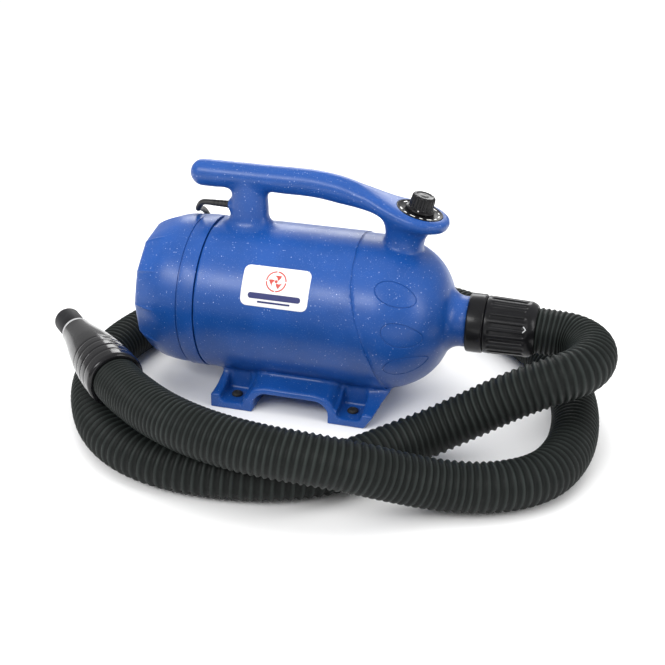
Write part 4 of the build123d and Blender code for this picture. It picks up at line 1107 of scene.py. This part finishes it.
# ---- Speed control --------------------------------------------------------------------------------
class DRYER_OT_speed_control(Operator):
    """Dial plate with its scale, and the fluted knob"""
    bl_idname = "dryer.speed_control"
    bl_label = "Speed control"

    def execute(self, context):
        colour = context.scene.dryer_finishes.trim_black
        dial = turned("dial_face", [
            (-1.15, 4.7), (-0.35, 4.7), (-0.35, 23.6), (-0.1, 23.9), (0.15, 24.2), (0.15, 25.0), (-0.1, 25.4),
            (-1.15, 25.5)], DIAL, 96)
        soften(dial, 40)
        dial_plastic = moulded_black("DialPlastic", colour, 0.34, 0.44, 1)
        ready(dial, "housing", "dial_black", dial_plastic, "dial_plate")
        dashes = []
        for k in range(13):
            dash = block("dash", (21.2, 0, -0.3), (1.5, 5.6 if k % 2 == 0 else 3.6, 0.22), 0.09, 1)
            dash.data.transform(Matrix.Rotation(radians(k * 25 - 150), 4, "Z"))
            dash.data.transform(DIAL)
            dashes.append(dash)
        scale = join("dial_scale", dashes)
        ready(scale, "housing", "label_white", printed("ScaleWhite", (0.80, 0.80, 0.78)))

        knob = turned("knob_skin", [
            (0.4, 3.2), (0.4, 15.2), (0.8, 15.7), (2.2, 15.8), (2.9, 15.4), (3.4, 14.2), (4.0, 13.4),
            *[(4.2 + 10.8 * t, 13.3 - 0.7 * t) for t in np.linspace(0, 1, 10)],
            (15.9, 12.35), (16.7, 11.8), (17.2, 11.0), (17.45, 10.0), (17.3, 8.9), (16.9, 8.0),
            (16.8, 4.4), (17.1, 3.6), (17.1, 0), (13.7, 0), (13.7, 3.2)], DIAL, 240)
        points = points_of(knob)
        local = (np.array(DIAL.inverted()) @ np.c_[points * MM, np.ones(len(points))].T).T[:, :3] / MM
        around = np.hypot(local[:, 0], local[:, 1])
        angle = np.degrees(np.arctan2(local[:, 1], local[:, 0]))
        lobe = np.abs((angle / (360 / KNOB_FLUTES)) % 1 - 0.5) * 2
        side = ease(3.2, 4.6, local[:, 2]) * (around > 9.2) * (1 - 0.6 * ease(16.2, 17.4, local[:, 2]))
        shrink = 1 - 1.2 * (1 - ease(0.1, 0.75, lobe)) * side / np.maximum(around, 1)
        local[:, 0] *= shrink
        local[:, 1] *= shrink
        put_points(knob, (np.array(DIAL) @ np.c_[local * MM, np.ones(len(local))].T).T[:, :3] / MM)
        soften(knob, 45)
        knob_plastic = moulded_black("KnobPlastic", lighter(colour, 0.9), 0.24, 0.34, 0, 0.2)
        ready(knob, "knob", "knob_black", knob_plastic, "speed_knob")
        pointer = block("knob_pointer", (0, -13.9, 3.6), (1.4, 3.2, 0.5), 0.2, 1)
        pointer.data.transform(DIAL)
        ready(pointer, "knob", "label_white", bpy.data.materials["ScaleWhite"])
        return {"FINISHED"}


# ---- Label -------------------------------------------------------------------------------------------
def wrapped(name, outline, lift, thickness, centre=(91.0, 31.5)):
    """A flat outline (along, up the body) wrapped on the barrel as a thin closed film."""
    begin()
    bpy.ops.mesh.primitive_circle_add(vertices=len(outline), radius=1, fill_type="NGON")
    film = fresh(name)
    put_points(film, [(u, v, 0) for u, v in outline])
    hold(film)
    bpy.ops.object.mode_set(mode="EDIT")
    bpy.ops.mesh.select_all(action="SELECT")
    low, high = min(v for _, v in outline), max(v for _, v in outline)
    for cut in np.arange(low + 1.5, high, 1.5):
        bpy.ops.mesh.select_all(action="SELECT")
        bpy.ops.mesh.bisect(plane_co=(0, float(cut) * MM, 0), plane_no=(0, 1, 0))
    bpy.ops.mesh.select_all(action="SELECT")
    bpy.ops.mesh.extrude_region_move(TRANSFORM_OT_translate={"value": (0, 0, thickness * MM)})
    bpy.ops.object.mode_set(mode="OBJECT")
    points = points_of(film)
    turn = radians(centre[1]) + points[:, 1] / BARREL_RADIUS
    radius = BARREL_RADIUS + lift + points[:, 2]
    put_points(film, np.stack([
        SEAM_X + centre[0] + points[:, 0], -radius * np.cos(turn), AXIS_Z + radius * np.sin(turn)], axis=1))
    return close_up(film, 0.0005)


def rounded_outline(half_width, half_height, corner, offset=(0, 0), steps=6):
    points = []
    for k, (sx, sy) in enumerate(((1, 1), (-1, 1), (-1, -1), (1, -1))):
        for a in np.linspace(k * 90, k * 90 + 90, steps + 1):
            points.append((offset[0] + sx * (half_width - corner) + corner * cos(radians(a)),
                           offset[1] + sy * (half_height - corner) + corner * sin(radians(a))))
    return points


class DRYER_OT_label(Operator):
    """Plain sticker: a three-bladed fan sign over two bars, with no words"""
    bl_idname = "dryer.label"
    bl_label = "Label"

    def execute(self, context):
        white = printed("LabelWhite", (0.80, 0.80, 0.80), 0.5)
        red = printed("LabelRed", (0.50, 0.045, 0.030), 0.5)
        navy = printed("LabelNavy", (0.008, 0.014, 0.11), 0.5)
        film = wrapped("label_film", rounded_outline(37, 22, 7), 0.02, 0.26)
        ready(film, "housing", "label_white", white, "side_label")
        signs = []
        for k in range(3):
            blade = []
            for reach in (*np.linspace(2.2, 8.4, 8), *np.linspace(8.4, 2.2, 8)):
                sweep = 18 + (78 if len(blade) >= 8 else 0) * (reach / 8.4) ** 0.7 + 4 * reach
                turn = radians(120 * k + sweep)
                blade.append((reach * cos(turn), 6.4 + reach * sin(turn)))
            signs.append(blade)
        signs.append([(1.7 * cos(a), 6.4 + 1.7 * sin(a)) for a in np.linspace(0, 2 * pi, 20, False)])
        for k in range(4):
            sweep = np.radians(np.linspace(90 * k + 3, 90 * k + 87, 12))
            signs.append([(11.4 * cos(a), 6.4 + 11.4 * sin(a)) for a in sweep]
                         + [(9.9 * cos(a), 6.4 + 9.9 * sin(a)) for a in sweep[::-1]])
        fan = join("label_fan", [wrapped("sign", sign, 0.27, 0.1) for sign in signs])
        ready(fan, "housing", "label_white", red)
        bars = [wrapped("bar", rounded_outline(29, 3.2, 3.0, (0, -10.8)), 0.27, 0.1),
                wrapped("bar", rounded_outline(18, 1.0, 0.9, (0, -17.0)), 0.27, 0.1)]
        ready(join("label_bars", bars), "housing", "label_white", navy)
        return {"FINISHED"}


# ---- Feet, strain relief and cord ------------------------------------------------------------------
class DRYER_OT_feet(Operator):
    """Rubber feet: a pad below, a stem and a mushroom head in each pocket"""
    bl_idname = "dryer.feet"
    bl_label = "Feet"

    def execute(self, context):
        feet = []
        for x, y in FEET:
            place = place_along((x, y, 0), (0, 0, 1), (1, 0, 0))
            feet.append(turned("foot", [
                (0, 0), (0, 7.6), (0.3, 8.5), (1.0, 8.8), (3.0, 8.8), (3.0, 3.5), (8.0, 3.5), (8.02, 5.9),
                (8.6, 6.2), (10.2, 6.0), (11.3, 5.1), (11.9, 3.6), (11.95, 2.6), (11.4, 2.0), (11.4, 0)],
                place, 40))
        piece = join("rubber_feet_set", feet)
        soften(piece, 40)
        rubber = soft_rubber("FootRubber", (0.012, 0.012, 0.012))
        ready(piece, "housing", "black_rubber", rubber, "rubber_feet")
        return {"FINISHED"}


class DRYER_OT_cord(Operator):
    """Power cord with its strain relief, wound coil, tie and plug"""
    bl_idname = "dryer.cord"
    bl_label = "Power cord"

    def execute(self, context):
        sizes = context.scene.dryer_cord
        rubber = soft_rubber("CordRubber", (0.011, 0.011, 0.011), 0.5)
        relief_place = place_along(CORD_EXIT, (1, 0, 0), (0, 0, 1))
        steps = [(0.0, 3.3), (0.0, 3.4)]
        for k in range(4):
            x, r = 2.0 + 4.2 * k, 3.5 + 0.12 * k
            steps += [(x, r), (x + 2.6, r + 0.06), (x + 2.8, r - 0.12), (x + 3.8, r - 0.1)]
        relief = turned("strain_relief_sleeve", [*steps, (19.6, 4.4), (29, 4.4), (29, 3.3)], relief_place, 48)
        soften(relief, 45)
        ready(relief, "housing", "black_rubber", rubber, "strain_relief")

        pitch = 2 * sizes.radius / MM
        coil = coil_points(sizes.coil_radius / MM, pitch)
        route = [*CORD_START, *coil[1:], *CORD_END]
        cord = route_line("power_lead", route, sizes.radius / MM)
        ready(cord, "housing", "cord_black", rubber, "power_cord", "cord_coil", "cord_tail")

        def plug_ring(along, around):
            x = PLUG_START[0] + np.array([0, 0, 4, 9, 15, 17, 20, 24, 30, 38, 44, 45.5, 46, 46])[
                np.round(along * 13).astype(int)]
            half_y = np.array([0.1, 4.1, 4.8, 5.6, 6.4, 8.2, 10.4, 12.2, 13.3, 13.5, 13.4, 12.7, 11.8, 0.1])[
                np.round(along * 13).astype(int)]
            half_z = np.array([0.1, 4.1, 4.8, 5.6, 6.4, 7.6, 9.2, 10.6, 11.5, 11.8, 11.7, 11.0, 10.2, 0.1])[
                np.round(along * 13).astype(int)]
            square = np.interp(along, (0, 0.3, 0.5, 1), (2, 2, 3.2, 3.6))
            turn = 2 * pi * around
            flat = np.abs(np.cos(turn)) ** (2 / square) * np.sign(np.cos(turn))
            rise = np.abs(np.sin(turn)) ** (2 / square) * np.sign(np.sin(turn))
            return np.stack([x, PLUG_START[1] + half_y * flat, PLUG_START[2] + half_z * rise], axis=1)

        plug = cap_ends(net("plug_skin", 13, 40, plug_ring))
        apply_modifier(plug, "SUBSURF", levels=1, render_levels=1)
        soften(plug, 45)
        ready(plug, "housing", "cord_black", rubber, "plug_body")
        front = PLUG_START[0] + 46
        blades = []
        for y in (-6.35, 6.35):
            centre = (front + 8.5, PLUG_START[1] + y, PLUG_START[2] + 2)
            blades.append(block("blade", centre, (19, 1.5, 6.3), 0.5, 2))
        pin = place_along((front - 1, PLUG_START[1], PLUG_START[2] - 7), (1, 0, 0), (0, 0, 1))
        blades.append(turned("pin", [(0, 0), (0, 2.4), (17, 2.4), (18.4, 1.9), (19, 1.0), (19, 0)], pin, 24))
        prongs = join("plug_prongs", blades)
        soften(prongs, 40)
        brass = bare_metal("PlugBrass", (0.72, 0.52, 0.22), 0.2, 0.34)
        ready(prongs, "housing", "brass", brass, "plug_blades")

        # A short hook-and-loop strap holds the coil's turns together.
        half = 1.5 * pitch + 0.6
        turn = radians(115)
        strap = block(
            "cord_tie", (sizes.coil_radius / MM, 0, 1.5 * pitch + 0.15),
            (2 * half + 1.6, 12, 2 * half - 0.9), 4.5, 4)
        strap.data.transform(Matrix.Rotation(turn, 4, "Z"))
        strap.data.transform(Matrix.Translation(Vector((*COIL_CENTRE, 0)) * MM))
        soften(strap, 50)
        ready(strap, "housing", "black_rubber", soft_rubber("StrapFabric", (0.02, 0.02, 0.02), 0.85))
        return {"FINISHED"}


# ---- What shows of the inside, and the rest of the CAD's own parts --------------------------------------
INSIDE = {
    "Steel": ["motor_shaft", "bearings", "bulkhead_screws", "bush_nut", "impeller_nut", "impeller_spacer"],
    "Sheet": ["fan_shell", "diffuser", "field_core", "armature_core"],
    "Cast": ["motor_bracket", "end_bracket", "rear_impeller", "front_impeller", "heat_sink"],
    "Copper": ["field_coils", "armature_winding", "commutator"],
    "Moulding": ["bulkhead", "motor_cradle", "filter_frame", "potentiometer"],
    "Rubber": ["fan_gasket", "cradle_bush"],
    "Carbon": ["carbon_brushes"],
    "Brass": ["brush_holders"],
    "Board": ["control_board"],
    "Foam": ["foam_filter"],
    "Screen": ["mesh_screen"],
    "Shaft": ["control_shaft"],
}


class DRYER_OT_inside(Operator):
    """Finishes of the motor, fan, filter and control parts"""
    bl_idname = "dryer.inside"
    bl_label = "Inside parts"

    def execute(self, context):
        finishes = {
            "Steel": bare_metal("TurnedSteel", (0.60, 0.60, 0.61), 0.16, 0.3, (1, 14, 14)),
            "Sheet": bare_metal("ZincSheet", (0.56, 0.58, 0.60), 0.26, 0.42),
            "Cast": bare_metal("CastAluminium", (0.68, 0.69, 0.70), 0.34, 0.5),
            "Copper": wound_copper(),
            "Moulding": moulded_black("InnerMoulding", (0.020, 0.020, 0.022), 0.45, 0.58, 1),
            "Rubber": soft_rubber("GasketRubber", (0.014, 0.014, 0.014)),
            "Carbon": soft_rubber("BrushCarbon", (0.020, 0.020, 0.022), 0.62),
            "Brass": bare_metal("HolderBrass", (0.70, 0.50, 0.20), 0.22, 0.36),
            "Board": circuit_green(),
            "Foam": open_foam(),
            "Screen": woven_screen(),
            "Shaft": bare_metal("ShaftSteel", (0.58, 0.58, 0.59), 0.2, 0.32),
        }
        for key, names in INSIDE.items():
            for name in names:
                paint(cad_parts[name], finishes[key])
        return {"FINISHED"}


# ---- Stage ------------------------------------------------------------------------------------------
def soft_box(name, place, target, size, power, colour=(1, 1, 1)):
    lamp = bpy.data.lights.new(name, "AREA")
    lamp.shape = "RECTANGLE"
    lamp.size, lamp.size_y = size
    lamp.energy = power
    lamp.color = colour
    piece = bpy.data.objects.new(name, lamp)
    bpy.context.scene.collection.objects.link(piece)
    piece.location = place
    piece.rotation_euler = (Vector(target) - Vector(place)).to_track_quat("-Z", "Y").to_euler()
    return piece


class DRYER_OT_stage(Operator):
    """Floor, soft lights, backdrop and camera"""
    bl_idname = "dryer.stage"
    bl_label = "Stage"

    def execute(self, context):
        begin()
        bpy.ops.mesh.primitive_circle_add(vertices=96, radius=6, fill_type="NGON")
        floor = fresh("floor")
        floor.data.transform(Matrix.Translation((0, 0, -0.0002)))
        paint(floor, studio_paper(context.scene.dryer_finishes.floor_white))
        world = bpy.data.worlds.new("StudioWorld")
        context.scene.world = world
        world.use_nodes = True
        world.node_tree.nodes["Background"].inputs["Color"].default_value = (1, 1, 1, 1)
        world.node_tree.nodes["Background"].inputs["Strength"].default_value = 0.55
        middle = (0.0, 0.0, 0.10)
        soft_box("key_light", (-0.7, -1.5, 1.30), middle, (1.5, 0.5), 22)
        top = soft_box("top_light", (0.0, 0.1, 1.8), middle, (1.8, 1.3), 12)
        top.visible_glossy = False
        sky = bpy.data.lights.new("overhead", "SUN")
        sky.energy = 1.7
        sky.angle = radians(100)
        overhead = bpy.data.objects.new("overhead", sky)
        overhead.visible_glossy = False
        context.scene.collection.objects.link(overhead)
        soft_box("right_light", (1.7, -0.6, 0.9), middle, (0.5, 1.0), 8)
        soft_box("back_light", (-0.4, 1.7, 0.9), middle, (1.4, 0.6), 12)
        context.scene.view_settings.view_transform = "Standard"

        camera = bpy.data.objects.new("camera", bpy.data.cameras.new("camera"))
        context.scene.collection.objects.link(camera)
        context.scene.camera = camera
        camera.data.sensor_width = 36
        camera.data.lens = 63.29
        camera.data.clip_end = 50
        right = Vector((0.96284, 0.26975, 0.01316))
        up = Vector((-0.12732, 0.41040, 0.90297))
        back = Vector((0.23817, -0.87110, 0.42949))
        turn = Matrix((right, up, back)).transposed()
        camera.matrix_world = Matrix.Translation((0.30553, -1.14821, 0.63605)) @ turn.to_4x4()
        return {"FINISHED"}


class DRYER_PT_pieces(Panel):
    """Builds the dryer's pieces one at a time"""
    bl_idname = "DRYER_PT_pieces"
    bl_label = "Pet Dryer"
    bl_space_type = "VIEW_3D"
    bl_region_type = "UI"
    bl_category = "Pet Dryer"

    def draw(self, context):
        layout = self.layout
        for title, name in (("Body", "dryer_body"), ("Hose", "dryer_hose"), ("Cord", "dryer_cord"),
                            ("Finishes", "dryer_finishes")):
            box = layout.box()
            box.label(text=title)
            group = getattr(context.scene, name)
            for key in group.bl_rna.properties.keys():
                if key not in ("rna_type", "name"):
                    box.prop(group, key)
        for piece in PIECES:
            layout.operator(piece.bl_idname)


GROUPS = (
    ("dryer_body", DryerBodySizes), ("dryer_hose", DryerHoseSizes), ("dryer_cord", DryerCordSizes),
    ("dryer_finishes", DryerFinishes),
)
PIECES = (
    DRYER_OT_main_housing, DRYER_OT_rear_cover, DRYER_OT_outlet, DRYER_OT_handpiece, DRYER_OT_hose,
    DRYER_OT_speed_control, DRYER_OT_label, DRYER_OT_feet, DRYER_OT_cord, DRYER_OT_inside, DRYER_OT_stage,
)


def register():
    for name, group in GROUPS:
        bpy.utils.register_class(group)
        setattr(bpy.types.Scene, name, PointerProperty(type=group))
    for piece in (*PIECES, DRYER_PT_pieces):
        bpy.utils.register_class(piece)


def unregister():
    for piece in reversed((*PIECES, DRYER_PT_pieces)):
        bpy.utils.unregister_class(piece)
    for name, group in reversed(GROUPS):
        delattr(bpy.types.Scene, name)
        bpy.utils.unregister_class(group)


def main():
    register()
    bpy.ops.dryer.main_housing()
    bpy.ops.dryer.rear_cover()
    bpy.ops.dryer.outlet()
    bpy.ops.dryer.handpiece()
    bpy.ops.dryer.hose()
    bpy.ops.dryer.speed_control()
    bpy.ops.dryer.label()
    bpy.ops.dryer.feet()
    bpy.ops.dryer.cord()
    bpy.ops.dryer.inside()
    bpy.ops.dryer.stage()


if __name__ == "__main__":
    main()
